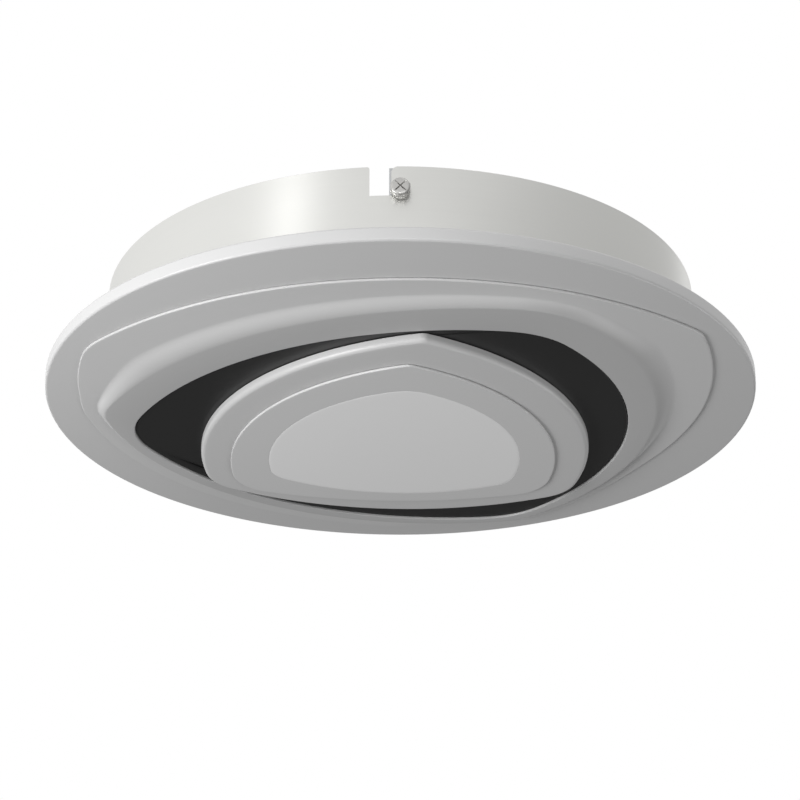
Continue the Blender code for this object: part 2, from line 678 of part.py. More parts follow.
def pan_head_screw(name, radius, seat, tip, where):
    """Pan-head screw whose head stands on the seat height."""
    head_top = seat + PAN_HEAD_HEIGHT
    head = PAN_HEAD_RADIUS * radius / ASSEMBLY_SCREW_RADIUS
    crown = head * PAN_HEAD_CROWN
    profile = [(0, head_top), (crown, head_top), (head, seat + PAN_HEAD_HEIGHT / 2), (head, seat)]
    profile += [(radius, seat), (radius, tip + radius), (radius * SCREW_POINT, tip), (0, tip)]
    screw = add_piece(name, profile_mesh(name, profile, False), "zinc_steel", where)
    turn(screw, HOLE_STEPS)
    recess = [
        Matrix.Translation((0, 0, head_top)),
        Matrix.Translation((0, 0, head_top)) @ Matrix.Rotation(math.pi / 2, 4, "Z"),
    ]
    size = (head * RECESS_LENGTH, head * RECESS_WIDTH, PAN_HEAD_HEIGHT)
    for i, matrix in enumerate(recess):
        blade = boxes_mesh(f"{name} recess {i + 1}", size, [matrix])
        cut(screw, add_cutter(f"{name} recess {i + 1}", blade, where))
    return screw


def build_assembly_screws():
    seat = PAN_FLANGE_TOP + GAP
    tip = DISC_TOP - ASSEMBLY_SCREW_GRIP
    screws = []
    for i, angle in enumerate(assembly_angles()):
        where = on_circle(ASSEMBLY_CIRCLE, angle)
        screws.append(pan_head_screw(f"assembly_screw_{i + 1}", ASSEMBLY_SCREW_RADIUS, seat, tip, where))
    return screws


# ---------------------------------------------------------------- ceiling bar and clamps
def build_bar():
    """Strip with turned-down ends: its outer surface, thickened inwards."""
    bend = BAR_BEND + BAR_THICKNESS
    path = [(-BAR_END, TAB_FOOT)]
    path += arc((-BAR_END + bend, -bend), bend, 180, 90, BEND_STEPS)
    neck = BAR_END - BAR_NECK
    path += [(-neck, 0.0), (-neck + BAR_TAPER, 0.0)]
    path += [(-y, z) for y, z in reversed(path)]
    half_widths = [BAR_END_WIDTH / 2 if abs(y) >= neck else BAR_WIDTH / 2 for y, z in path]

    bm = bmesh.new()
    edges = [[bm.verts.new((s * w, y, z)) for s in (1, -1)] for (y, z), w in zip(path, half_widths)]
    for (a, b), (c, d) in zip(edges, edges[1:]):
        bm.faces.new((a, c, d, b))
    mesh = bpy.data.meshes.new("mounting_bar")
    bm.to_mesh(mesh)
    bm.free()
    bar = add_piece("mounting_bar", mesh, "zinc_steel")
    sheet = bar.modifiers.new("sheet", "SOLIDIFY")
    sheet.thickness = BAR_THICKNESS
    sheet.offset = -1
    sheet.use_even_offset = True

    radius = SLOT_WIDTH / 2
    for side, sign in (("front", -1), ("rear", 1)):
        loop = arc((0, SLOT_END - radius), radius, 0, 180, SIDE_STEPS)
        loop += arc((0, SLOT_START + radius), radius, 180, 360, SIDE_STEPS)
        loop = [(x, sign * y) for x, y in loop]
        slot = plate_mesh(f"{side} slot", [loop], -BAR_THICKNESS - GAP, GAP)
        hole = rod_mesh(f"{side} bar hole", SHANK_RADIUS + RUN, -3 * BAR_THICKNESS, 3 * BAR_THICKNESS)
        where = (0, sign * BAR_END, SCREW_Z)
        cut(bar, add_cutter(f"{side} slot", slot))
        cut(bar, add_cutter(f"{side} bar hole", hole, where, (math.pi / 2, 0, 0)))
    return bar


def hexagon(width):
    return arc((0, 0), width / 2 / math.cos(math.pi / 6), 0, 360, 6)[:-1]


def build_weld_nuts():
    nuts = []
    inner_face = BAR_END - BAR_THICKNESS - GAP
    loops = [hexagon(NUT_WIDTH), circle((0, 0), SHANK_RADIUS + RUN)]
    for side, sign in (("front", -1), ("rear", 1)):
        mesh = plate_mesh(f"weld_nut_{side}", loops, -NUT_THICKNESS / 2, NUT_THICKNESS / 2)
        where = (0, sign * (inner_face - NUT_THICKNESS / 2), SCREW_Z)
        nuts.append(add_piece(f"weld_nut_{side}", mesh, "zinc_steel", where, (math.pi / 2, 0, 0)))
    return nuts


def build_clamp(side, turned):
    """Washer and screw on one side, made along their own +Z, which points out of the canopy."""
    seat = WASHER_SEAT
    place_at = Matrix.Rotation(turned, 3, "Z") @ Vector((0, -seat, SCREW_Z))
    rotation = (math.pi / 2, 0, turned)
    washer_loops = [circle((0, 0), WASHER_RADIUS, ROUND_STEPS), circle((0, 0), SHANK_RADIUS + RUN)]
    washer_mesh = plate_mesh(f"clamp_washer_{side}", washer_loops, 0, WASHER_THICKNESS)
    washer = add_piece(f"clamp_washer_{side}", washer_mesh, "nickel_screw", place_at, rotation)

    name = f"clamp_screw_{side}"
    under_head = WASHER_THICKNESS + GAP
    head_top = under_head + CLAMP_HEAD_DEPTH
    half_side = math.pi / CLAMP_HEAD_SIDES
    head_radius = CLAMP_HEAD_WIDTH / 2 / math.cos(half_side)
    head = rod_mesh(name, head_radius, under_head, head_top, CLAMP_HEAD_SIDES)
    head.transform(Matrix.Rotation(half_side, 4, "Z"))
    screw = add_piece(name, head, "nickel_screw", place_at, rotation)
    round_edges(screw)
    shank = rod_mesh(f"{name} shank", SHANK_RADIUS, -SCREW_REACH, head_top - CROSS_DEPTH - GAP)
    unite(screw, add_cutter(f"{name} shank", shank, place_at, rotation))
    for i, angle in enumerate((math.pi / 4, -math.pi / 4)):
        matrix = Matrix.Translation((0, 0, head_top)) @ Matrix.Rotation(angle, 4, "Z")
        blade = boxes_mesh(f"{name} cross {i + 1}", (CROSS_LENGTH, CROSS_WIDTH, 2 * CROSS_DEPTH), [matrix])
        cut(screw, add_cutter(f"{name} cross {i + 1}", blade, place_at, rotation))
    return washer, screw


# ---------------------------------------------------------------- LED boards
def build_led_boards():
    boards = []
    chip_z = BOARD_FACE + CHIP_SINK - CHIP_SIZE[2] / 2
    half_gap = math.degrees(RING_BOARD_GAP / 2 / RING_BOARD_INNER)
    span = 360 / RING_BOARDS
    middle_radius = (RING_BOARD_OUTER + RING_BOARD_INNER) / 2
    for i in range(RING_BOARDS):
        start, end = i * span + half_gap, (i + 1) * span - half_gap
        steps = TURN_STEPS // RING_BOARDS
        loop = arc((0, 0), RING_BOARD_OUTER, start, end, steps)
        loop += arc((0, 0), RING_BOARD_INNER, end, start, steps)
        name = f"led_ring_board_{i + 1}"
        board = add_piece(name, plate_mesh(name, [loop], BOARD_FACE, BOARD_TOP), "board_white")
        places = []
        for k in range(RING_CHIPS):
            angle = math.radians(start + (end - start) * (k + 0.5) / RING_CHIPS)
            spot = Matrix.Translation(on_circle(middle_radius, angle, chip_z))
            places.append(spot @ Matrix.Rotation(angle, 4, "Z"))
        unite(board, add_cutter(f"{name} chips", boxes_mesh(f"{name} chips", CHIP_SIZE, places)))
        boards.append(board)

    name = "led_centre_board"
    mesh = rod_mesh(name, CENTRE_BOARD_RADIUS, BOARD_FACE, BOARD_TOP, TURN_STEPS)
    centre = add_piece(name, mesh, "board_white")
    places = []
    for k in range(CENTRE_CHIPS):
        angle = math.tau * k / CENTRE_CHIPS
        spot = Matrix.Translation(on_circle(CENTRE_CHIP_RADIUS, angle, chip_z))
        places.append(spot @ Matrix.Rotation(angle, 4, "Z"))
    places.append(Matrix.Translation((0, 0, chip_z)))
    unite(centre, add_cutter(f"{name} chips", boxes_mesh(f"{name} chips", CHIP_SIZE, places)))
    return boards + [centre]


def build_board_links():
    """Flat jumpers under the boards: three along the ring, one from the ring to the centre."""
    top = BOARD_FACE - GAP
    centre_z = top - LINK_THICKNESS / 2
    radius = RING_BOARD_INNER + LINK_WIDTH
    links = []
    for i in range(1, RING_BOARDS):
        length = RING_BOARD_GAP + 2 * LINK_LAP
        mesh = box_mesh(f"board_link_{i}", (LINK_WIDTH, length, LINK_THICKNESS))
        angle = math.tau * i / RING_BOARDS
        where = on_circle(radius, angle, centre_z)
        links.append(add_piece(f"board_link_{i}", mesh, "lead_black", where, (0, 0, angle)))
    inner, outer = CENTRE_BOARD_RADIUS - LINK_LAP, RING_BOARD_INNER + LINK_LAP
    mesh = box_mesh("board_link_centre", (outer - inner, LINK_WIDTH, LINK_THICKNESS))
    angle = math.radians(LINK_ANGLE)
    where = on_circle((outer + inner) / 2, angle, centre_z)
    links.append(add_piece("board_link_centre", mesh, "lead_black", where, (0, 0, angle)))
    return links


# ---------------------------------------------------------------- driver
def port_cutters(name, ports, radius, y):
    cutters = []
    for pole, shift in ports.items():
        mesh = rod_mesh(f"{name} {pole}", radius + RUN, -2 * DRIVER_WALL, 2 * DRIVER_WALL)
        where = (DRIVER_X + shift, y, PORT_Z)
        cutters.append(add_cutter(f"{name} {pole}", mesh, where, (math.pi / 2, 0, 0)))
    return cutters


def build_driver_case():
    height = DRIVER_RIM - DECK
    base = add_piece(
        "driver_case_base", box_mesh("driver_case_base", (DRIVER_WIDTH, DRIVER_LENGTH, height)),
        "case_white", (DRIVER_X, 0, DECK + height / 2))
    inside = (DRIVER_WIDTH - 2 * DRIVER_WALL, DRIVER_LENGTH - 2 * DRIVER_WALL, 2 * (height - DRIVER_WALL))
    cut(base, add_cutter("driver inside", box_mesh("driver inside", inside), (DRIVER_X, 0, DRIVER_RIM)))
    rib_size = (DRIVER_WIDTH - DRIVER_WALL, DRIVER_WALL, RIB_HEIGHT + DRIVER_WALL / 2)
    rib_z = DRIVER_FLOOR + RIB_HEIGHT - rib_size[2] / 2
    ribs = [Matrix.Translation((0, s * DRIVER_LENGTH / 3, rib_z)) for s in (-1, 1)]
    unite(base, add_cutter("driver ribs", boxes_mesh("driver ribs", rib_size, ribs), (DRIVER_X, 0, 0)))
    ear_size = (EAR_WIDTH, EAR_LENGTH + DRIVER_WALL, EAR_THICKNESS)
    ear_shift = EAR_Y - DRIVER_WALL / 2
    ears = [Matrix.Translation((0, s * ear_shift, DECK + EAR_THICKNESS / 2)) for s in (-1, 1)]
    unite(base, add_cutter("driver ears", boxes_mesh("driver ears", ear_size, ears), (DRIVER_X, 0, 0)))
    for side, sign in (("front", -1), ("rear", 1)):
        hole = rod_mesh(f"{side} ear hole", SMALL_SCREW_RADIUS + RUN, DECK - GAP, DECK + 2 * EAR_THICKNESS)
        cut(base, add_cutter(f"{side} ear hole", hole, (DRIVER_X, sign * EAR_Y, 0)))
    wall_y = (DRIVER_LENGTH - DRIVER_WALL) / 2
    cut(base, *port_cutters("mains port", MAINS_PORT_X, MAINS_LEAD_RADIUS, -wall_y))
    cut(base, *port_cutters("LED port", LED_PORT_X, LED_LEAD_RADIUS, wall_y))

    lid_low = DRIVER_RIM + GAP
    lid = add_piece(
        "driver_case_lid", box_mesh("driver_case_lid", (DRIVER_WIDTH, DRIVER_LENGTH, LID_THICKNESS)),
        "case_white", (DRIVER_X, 0, lid_low + LID_THICKNESS / 2))
    round_edges(lid)
    lip = (inside[0] - 2 * RUN, inside[1] - 2 * RUN, LID_LIP + LID_THICKNESS / 2)
    lip_centre = (DRIVER_X, 0, lid_low + LID_THICKNESS / 2 - lip[2] / 2)
    unite(lid, add_cutter("lid lip", box_mesh("lid lip", lip), lip_centre))
    hollow = (lip[0] - 2 * DRIVER_WALL, lip[1] - 2 * DRIVER_WALL, LID_LIP * 2)
    cut(lid, add_cutter("lid hollow", box_mesh("lid hollow", hollow), (DRIVER_X, 0, lid_low - LID_LIP)))
    return base, lid


def build_driver_parts():
    board_size = (DRIVER_WIDTH - 2 * DRIVER_WALL - 2 * RUN, DRIVER_LENGTH - 2 * DRIVER_WALL - 2 * RUN)
    board_centre = (DRIVER_X, 0, BOARD_SEAT + BOARD_THICKNESS / 2)
    board = add_piece(
        "driver_circuit_board", box_mesh("driver_circuit_board", (*board_size, BOARD_THICKNESS)),
        "board_green", board_centre)

    seat = DRIVER_PART_SEAT
    core_at = (DRIVER_X, CORE_Y, seat + CORE_SIZE[2] / 2)
    transformer = add_piece(
        "driver_transformer", box_mesh("driver_transformer", CORE_SIZE), "ferrite", core_at)
    reach = CORE_SIZE[0] / 2 + WINDING_PROUD
    winding = rod_mesh("transformer winding", WINDING_RADIUS, -reach, reach, ROUND_STEPS)
    winding_at = (DRIVER_X, CORE_Y, seat + WINDING_RADIUS + WINDING_LIFT)
    unite(transformer, add_cutter("transformer winding", winding, winding_at, (0, math.pi / 2, 0)))

    parts = [board, transformer]
    for name, sizes in (("input", INPUT_CAPACITOR), ("output", OUTPUT_CAPACITOR)):
        radius, length, x, y = sizes
        mesh = rod_mesh(f"driver_{name}_capacitor", radius, -length / 2, length / 2, ROUND_STEPS)
        capacitor = add_piece(
            f"driver_{name}_capacitor", mesh, "capacitor_sleeve",
            (DRIVER_X + x, y, seat + radius), (math.pi / 2, 0, 0))
        round_edges(capacitor)
        parts.append(capacitor)

    x, y = FILM_PLACE
    film = add_piece(
        "driver_film_capacitor", box_mesh("driver_film_capacitor", FILM_SIZE), "film_yellow",
        (DRIVER_X + x, y, seat + FILM_SIZE[2] / 2))
    round_edges(film)

    ring, wire = COIL_RADII
    section = circle((ring, seat + wire), wire)
    section.reverse()
    x, y = COIL_PLACE
    coil = profile_mesh("driver_inductor", section, True)
    inductor = add_piece("driver_inductor", coil, "film_yellow", (DRIVER_X + x, y, 0))
    turn(inductor, ROUND_STEPS)
    return [*parts, film, inductor]


def build_small_screws():
    ear_seat = DECK + EAR_THICKNESS + GAP
    tip = PAN_UNDER - SMALL_SCREW_TIP
    foot_seat = DECK + FOOT_THICKNESS + GAP
    lug_seat = DECK + LUG_THICKNESS + GAP
    return [
        pan_head_screw("driver_screw_front", SMALL_SCREW_RADIUS, ear_seat, tip, (DRIVER_X, -EAR_Y, 0)),
        pan_head_screw("driver_screw_rear", SMALL_SCREW_RADIUS, ear_seat, tip, (DRIVER_X, EAR_Y, 0)),
        pan_head_screw("terminal_screw", SMALL_SCREW_RADIUS, foot_seat, tip, (FOOT_X, 0, 0)),
        pan_head_screw("earth_screw", SMALL_SCREW_RADIUS, lug_seat, tip, (*EARTH_POINT, 0)),
    ]


# ---------------------------------------------------------------- terminal block
def pole_x(index):
    return TERMINAL_X + (index - (len(POLES) - 1) / 2) * POLE_PITCH


def build_terminal_housing():
    size = TERMINAL_SIZE
    housing = add_piece(
        "terminal_housing", box_mesh("terminal_housing", size), "terminal_white",
        (TERMINAL_X, 0, DECK + size[2] / 2))
    round_edges(housing)
    foot_size = (FOOT_LENGTH + 2 * DRIVER_WALL, FOOT_LENGTH, FOOT_THICKNESS)
    foot_at = (FOOT_X + DRIVER_WALL, 0, DECK + FOOT_THICKNESS / 2)
    unite(housing, add_cutter("terminal foot", box_mesh("terminal foot", foot_size), foot_at))
    hole = rod_mesh("terminal foot hole", SMALL_SCREW_RADIUS + RUN, DECK - GAP, DECK + 2 * FOOT_THICKNESS)
    cut(housing, add_cutter("terminal foot hole", hole, (FOOT_X, 0, 0)))
    well = (WELL_SIZE[0], WELL_SIZE[1], 2 * WELL_SIZE[2])
    for i, pole in enumerate(POLES):
        where = (pole_x(i), WELL_Y, TERMINAL_TOP)
        cut(housing, add_cutter(f"{pole} well", box_mesh(f"{pole} well", well), where))
        bore = rod_mesh(f"{pole} wire hole", WIRE_HOLE_RADIUS, -size[1], size[1])
        where = (pole_x(i), 0, WIRE_Z)
        cut(housing, add_cutter(f"{pole} wire hole", bore, where, (math.pi / 2, 0, 0)))
    return housing


def build_terminal_buttons():
    buttons = []
    size = (WELL_SIZE[0] - 2 * BUTTON_PLAY, WELL_SIZE[1] - 2 * BUTTON_PLAY, BUTTON_HEIGHT)
    for i, pole in enumerate(POLES):
        name = f"terminal_button_{pole}"
        where = (pole_x(i), WELL_Y, TERMINAL_TOP + BUTTON_PROUD - BUTTON_HEIGHT / 2)
        button = add_piece(name, box_mesh(name, size), "button_orange", where)
        round_edges(button)
        buttons.append(button)
    return buttons


def build_terminal_springs():
    """Bent strip in each well, below its button."""
    springs = []
    floor = TERMINAL_TOP - WELL_SIZE[2] + GAP
    reach = WELL_SIZE[1] / 2 - BUTTON_PLAY
    strip = CLAMP_STRIP
    rise = WELL_SIZE[2] - BUTTON_HEIGHT + BUTTON_PROUD - 4 * CLAMP_STRIP - 2 * GAP
    loop = [(-reach, 0), (reach, 0), (reach, strip), (-reach + 2 * strip, strip)]
    loop += [(reach - strip, rise), (reach - 2 * strip, rise + strip), (-reach, 2 * strip)]
    for i, pole in enumerate(POLES):
        name = f"terminal_spring_{pole}"
        width = WELL_SIZE[0] / 2 - BUTTON_PLAY
        mesh = plate_mesh(name, [loop], -width, width)
        where = (pole_x(i), WELL_Y, floor)
        springs.append(add_piece(name, mesh, "spring_steel", where, (math.pi / 2, 0, math.pi / 2)))
    return springs


# ---------------------------------------------------------------- grommet, lug and leads
def build_grommet():
    neck = GROMMET_BORE + GROMMET_WALL
    collar = neck + GROMMET_FLANGE
    top, low = PAN_TOP + GAP + GROMMET_FLANGE, PAN_UNDER - GAP - GROMMET_FLANGE
    profile = [(collar, top), (collar, PAN_TOP + GAP), (neck, PAN_TOP + GAP), (neck, PAN_UNDER - GAP)]
    profile += [(collar, PAN_UNDER - GAP), (collar, low), (GROMMET_BORE, low), (GROMMET_BORE, top)]
    grommet = add_piece("lead_grommet", profile_mesh("lead_grommet", profile, True), "rubber_grey",
                        (0, GROMMET_Y, 0))
    turn(grommet, ROUND_STEPS)
    return grommet


def build_earth_lug():
    """Ring tongue whose tail points at the terminal block."""
    x, y = EARTH_POINT
    half = LUG_TAIL_WIDTH / 2
    spread = math.degrees(math.asin(half / LUG_RADIUS))
    loop = arc((0, 0), LUG_RADIUS, 90 + spread, 450 - spread, ROUND_STEPS)
    loop += [(half, LUG_TAIL), (-half, LUG_TAIL)]
    loops = [loop, circle((0, 0), SMALL_SCREW_RADIUS + RUN)]
    mesh = plate_mesh("earth_lug", loops, DECK, DECK + LUG_THICKNESS)
    return add_piece("earth_lug", mesh, "spring_steel", (x, y, 0))


def smooth_route(points, steps=LEAD_STEPS):
    """Even points on a Catmull-Rom curve through the route's own points."""
    route = np.array(points, dtype=float)
    padded = np.vstack([2 * route[0] - route[1], route, 2 * route[-1] - route[-2]])
    share = np.linspace(0, len(route) - 1, 40 * len(route))
    span = np.minimum(share.astype(int), len(route) - 2)
    t = (share - span)[:, None]
    a, b, c, d = (padded[span + k] for k in range(4))
    dense = 0.5 * (2 * b + (c - a) * t + (2 * a - 5 * b + 4 * c - d) * t ** 2
                   + (3 * b - a - 3 * c + d) * t ** 3)
    travelled = np.concatenate([[0], np.cumsum(np.linalg.norm(np.diff(dense, axis=0), axis=1))])
    even = np.linspace(0, travelled[-1], steps)
    return np.stack([np.interp(even, travelled, dense[:, k]) for k in range(3)], axis=1)


def lead(name, points, radius, finish):
    curve = bpy.data.curves.new(name, "CURVE")
    curve.dimensions = "3D"
    curve.bevel_depth = radius
    curve.bevel_resolution = 2
    curve.use_fill_caps = True
    route = smooth_route(points)
    spline = curve.splines.new("POLY")
    spline.points.add(len(route) - 1)
    for point, place_on_route in zip(spline.points, route):
        point.co = (*place_on_route, 1)
    curve.materials.append(finish_material(finish))
    obj = bpy.data.objects.new(name, curve)
    LAMP.objects.link(obj)
    return obj


def mains_route(pole):
    """From the terminal block's wire hole round the front of the pan into the driver."""
    start_x, port_x = pole_x(POLES.index(pole)), DRIVER_X + MAINS_PORT_X[pole]
    mouth, front = -TERMINAL_SIZE[1] / 2 - GAP, -DRIVER_LENGTH / 2
    bends = {
        "neutral": [(-0.026, mouth - 0.022, WIRE_Z - 0.001), (-0.010, mouth - 0.042, WIRE_Z - 0.002),
                    (0.012, front - 0.018, WIRE_Z - 0.001), (port_x - 0.005, front - 0.020, PORT_Z - 0.002)],
        "live": [(-0.053, mouth - 0.024, WIRE_Z - 0.001), (-0.048, mouth - 0.046, WIRE_Z - 0.002),
                 (-0.024, front - 0.018, WIRE_Z - 0.002), (0.012, front - 0.027, WIRE_Z - 0.001),
                 (port_x - 0.006, front - 0.025, PORT_Z - 0.002)],
    }
    return [
        (start_x, mouth, WIRE_Z),
        (start_x, mouth - LEAD_STRAIGHT, WIRE_Z),
        *bends[pole],
        (port_x, front - 2 * LEAD_STRAIGHT, PORT_Z),
        (port_x, front - LEAD_STRAIGHT, PORT_Z),
        (port_x, front, PORT_Z),
        (port_x, front + DRIVER_WALL + LEAD_INSIDE, PORT_Z),
    ]


def earth_route():
    """From the terminal block's middle hole down to the tail of the lug."""
    start_x, mouth = pole_x(POLES.index("earth")), -TERMINAL_SIZE[1] / 2 - GAP
    x, y = EARTH_POINT
    tail, lug_z = y + LUG_TAIL + 2 * GAP, DECK + MAINS_LEAD_RADIUS + GAP
    return [
        (start_x, mouth, WIRE_Z),
        (start_x, mouth - LEAD_STRAIGHT, WIRE_Z),
        (start_x + 0.002, (mouth + tail) / 2 - 0.003, (WIRE_Z + lug_z) / 2),
        (x, tail + LEAD_STRAIGHT / 2, lug_z),
        (x, tail, lug_z),
    ]


def led_route(pole, side):
    """From the driver's rear through the grommet to the ring board."""
    port_x, rear = DRIVER_X + LED_PORT_X[pole], DRIVER_LENGTH / 2
    land = BOARD_FACE - GAP - LED_LEAD_RADIUS
    apart = side * (LED_LEAD_RADIUS + GAP)
    end_x = LINK_LAP + RING_BOARD_GAP - 0.003 * side
    return [
        (port_x, rear - DRIVER_WALL - LEAD_INSIDE, PORT_Z),
        (port_x, rear, PORT_Z),
        (port_x, rear + LEAD_STRAIGHT, PORT_Z),
        (port_x - 0.008, GROMMET_Y + 0.006 * side, PORT_Z),
        (0.014, GROMMET_Y + 0.002 + 0.003 * side, PORT_Z),
        (0.001, GROMMET_Y + apart, PAN_TOP + 0.006),
        (0, GROMMET_Y + apart, PAN_TOP + 0.002),
        (0, GROMMET_Y + apart, PAN_UNDER - 0.003),
        (0.003 - 0.003 * side, GROMMET_Y + 0.004 + apart, land - 0.0025),
        (end_x, RING_BOARD_INNER - 0.006, land - 0.0005),
        (end_x + 0.006, RING_BOARD_INNER + 0.007, land),
    ]


def build_leads():
    return [
        lead("mains_lead_neutral", mains_route("neutral"), MAINS_LEAD_RADIUS, "lead_blue"),
        lead("mains_lead_live", mains_route("live"), MAINS_LEAD_RADIUS, "lead_brown"),
        lead("earth_lead", earth_route(), MAINS_LEAD_RADIUS, "lead_green"),
        lead("led_lead_negative", led_route("negative", -1), LED_LEAD_RADIUS, "lead_black"),
        lead("led_lead_positive", led_route("positive", 1), LED_LEAD_RADIUS, "lead_red"),
    ]


# ---------------------------------------------------------------- assembly
def build_bracket():
    bracket = add_empty("ceiling_bracket")
    ride_on(bracket, [build_bar(), *build_weld_nuts()])
    for side, turned in (("front", 0.0), ("rear", math.pi)):
        axis_point = Matrix.Rotation(turned, 3, "Z") @ Vector((0, -WASHER_SEAT, SCREW_Z))
        clamp = add_empty(f"clamp_{side}", axis_point)
        ride_on(clamp, build_clamp(side, turned))


def build_lamp_body():
    pivot = add_empty("canopy_pivot")
    pieces = [build_canopy(), build_gasket(), build_pan(), *build_assembly_screws()]
    pieces += [build_outer_diffuser(), build_contour_ring(), build_black_panel()]
    pieces += [build_centre_diffuser(), build_step_plate(), build_lens()]
    pieces += [*build_led_boards(), *build_board_links()]
    pieces += [*build_driver_case(), *build_driver_parts(), *build_small_screws()]
    pieces += [build_terminal_housing(), *build_terminal_springs(), *build_terminal_buttons()]
    pieces += [build_grommet(), build_earth_lug(), *build_leads()]
    ride_on(pivot, pieces)


clear_scene()
LAMP = new_collection("led_ceiling_lamp")
CUTTERS = new_collection("cutters")
build_bracket()
build_lamp_body()
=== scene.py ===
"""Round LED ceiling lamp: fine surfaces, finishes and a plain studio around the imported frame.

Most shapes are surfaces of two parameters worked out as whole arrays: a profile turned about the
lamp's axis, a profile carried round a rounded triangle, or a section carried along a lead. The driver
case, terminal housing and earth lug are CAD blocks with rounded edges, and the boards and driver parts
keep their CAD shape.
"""

import json
import math

import bmesh
import bpy
import numpy as np
from bpy.props import BoolProperty, FloatProperty, FloatVectorProperty, IntProperty, PointerProperty
from mathutils import Matrix, Vector


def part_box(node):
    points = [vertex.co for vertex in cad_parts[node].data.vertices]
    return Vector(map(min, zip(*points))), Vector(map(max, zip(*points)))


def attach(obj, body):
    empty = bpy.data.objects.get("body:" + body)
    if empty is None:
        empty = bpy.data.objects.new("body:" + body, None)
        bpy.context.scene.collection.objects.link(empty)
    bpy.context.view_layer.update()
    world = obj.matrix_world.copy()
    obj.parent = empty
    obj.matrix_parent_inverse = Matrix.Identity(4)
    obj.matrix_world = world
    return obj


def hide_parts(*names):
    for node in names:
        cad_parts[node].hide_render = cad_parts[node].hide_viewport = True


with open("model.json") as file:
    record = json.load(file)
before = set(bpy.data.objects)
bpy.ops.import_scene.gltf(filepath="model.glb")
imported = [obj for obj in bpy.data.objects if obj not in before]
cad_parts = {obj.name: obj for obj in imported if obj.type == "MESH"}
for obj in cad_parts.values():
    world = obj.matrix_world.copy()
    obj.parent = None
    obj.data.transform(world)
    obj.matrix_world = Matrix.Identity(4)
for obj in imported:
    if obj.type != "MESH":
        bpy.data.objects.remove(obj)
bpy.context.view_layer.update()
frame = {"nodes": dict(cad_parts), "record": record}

bl_info = {
    "name": "LED ceiling lamp",
    "version": (1, 0, 0),
    "blender": (4, 5, 0),
    "location": "3D View > Sidebar > Lamp",
    "description": "Fine surfaces and finishes of a round ceiling lamp with stepped layers",
    "category": "Object",
}

# ---- sizes read from the frame
DISC_LOW, DISC_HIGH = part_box("outer_diffuser")
RING_LOW, RING_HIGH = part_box("contour_ring")
PANEL_LOW, PANEL_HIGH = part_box("black_panel")
BODY_LOW, BODY_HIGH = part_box("centre_diffuser")
PLATE_LOW, PLATE_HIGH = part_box("centre_step_plate")
CANOPY_LOW, CANOPY_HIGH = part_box("canopy_shell")
GASKET_LOW, GASKET_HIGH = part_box("light_gasket")
PAN_LOW, PAN_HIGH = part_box("led_pan")
BAR_LOW, BAR_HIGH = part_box("mounting_bar")
WASHER_LOW, WASHER_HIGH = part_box("clamp_washer_front")
GROMMET_LOW, GROMMET_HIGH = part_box("lead_grommet")

DISC_RADIUS = DISC_HIGH.x
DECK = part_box("driver_case_base")[0].z              # the pan's flat top, which carries the driver
AXIS_Z = (WASHER_LOW.z + WASHER_HIGH.z) / 2         # height of the clamp screws' axis

# ---- fixed sizes
GAP = 0.0003                # between pieces that don't touch, and past a face that is cut
MERGE = 1e-6                # points closer than this are one
SMOOTH_ANGLE = 32           # in degrees: steeper edges stay sharp
DISC_SKIN = 0.003           # acrylic left under the pan's hollow
PAN_POCKET = 0.1467         # radius of that hollow
POCKET_EDGE = 0.0005
FLAT_FALL = 0.06            # share of the cove's fall that is even from foot to crest
ARC_ROWS, COVE_ROWS = 7, 65
PANEL_PLAY, PANEL_LIP = 0.0006, 0.004
FINE_EDGE = 0.0003
SEAM = 0.00005
BODY_MIDDLE = (0.0, 0.010)
LENS_MIDDLE = (-0.002, 0.038)
NOTCH = {"width": 0.0114, "depth": 0.0172, "shift": 0.0104, "small": 0.0015, "large": 0.0038}
SHANK, RUN = 0.002, 0.0004  # clamp screw's radius, and the play round it
FLANGE_WIDTH, GASKET_WIDTH = 0.016, 0.012
SHEET = 0.001               # the pan's metal
PAN_DECK, PAN_SKIRT, SKIRT_SHIFT = 0.1407, 0.1477, 0.00096
PAN_BENDS = (0, 0.003, 0.002, 0)
DISC_HOLE, PAN_HOLE, GROMMET_HOLE = 0.00215, 0.0019, 0.0045
WALL_CUT = 0.004            # half the depth of a cutter that passes a wall
THREAD_MEAN, THREAD_SWING = 0.93, 0.07
BAR_SHEET, BAR_EDGE, BAR_BEND = 0.0015, 0.0003, 0.0015
BAR_NARROW, BAR_NECK, BAR_TAPER = 0.0059, 0.040, 0.006
SLOT_HALF, SLOT_START, SLOT_END, SLOT_ROUND = 0.0025, 0.022, 0.078, 0.0024
WIRE_Z, PORT_Z = -0.0219, -0.0162
MAINS_LEAD, LED_LEAD = 0.0011, 0.0009
LEAD_POINTS = 140
TO_SIDES = (("front", 0.0), ("rear", math.pi))
DISC_SCREWS = [f"assembly_screw_{i}" for i in range(1, 5)]
DECK_SCREWS = ["driver_screw_front", "driver_screw_rear", "terminal_screw", "earth_screw"]

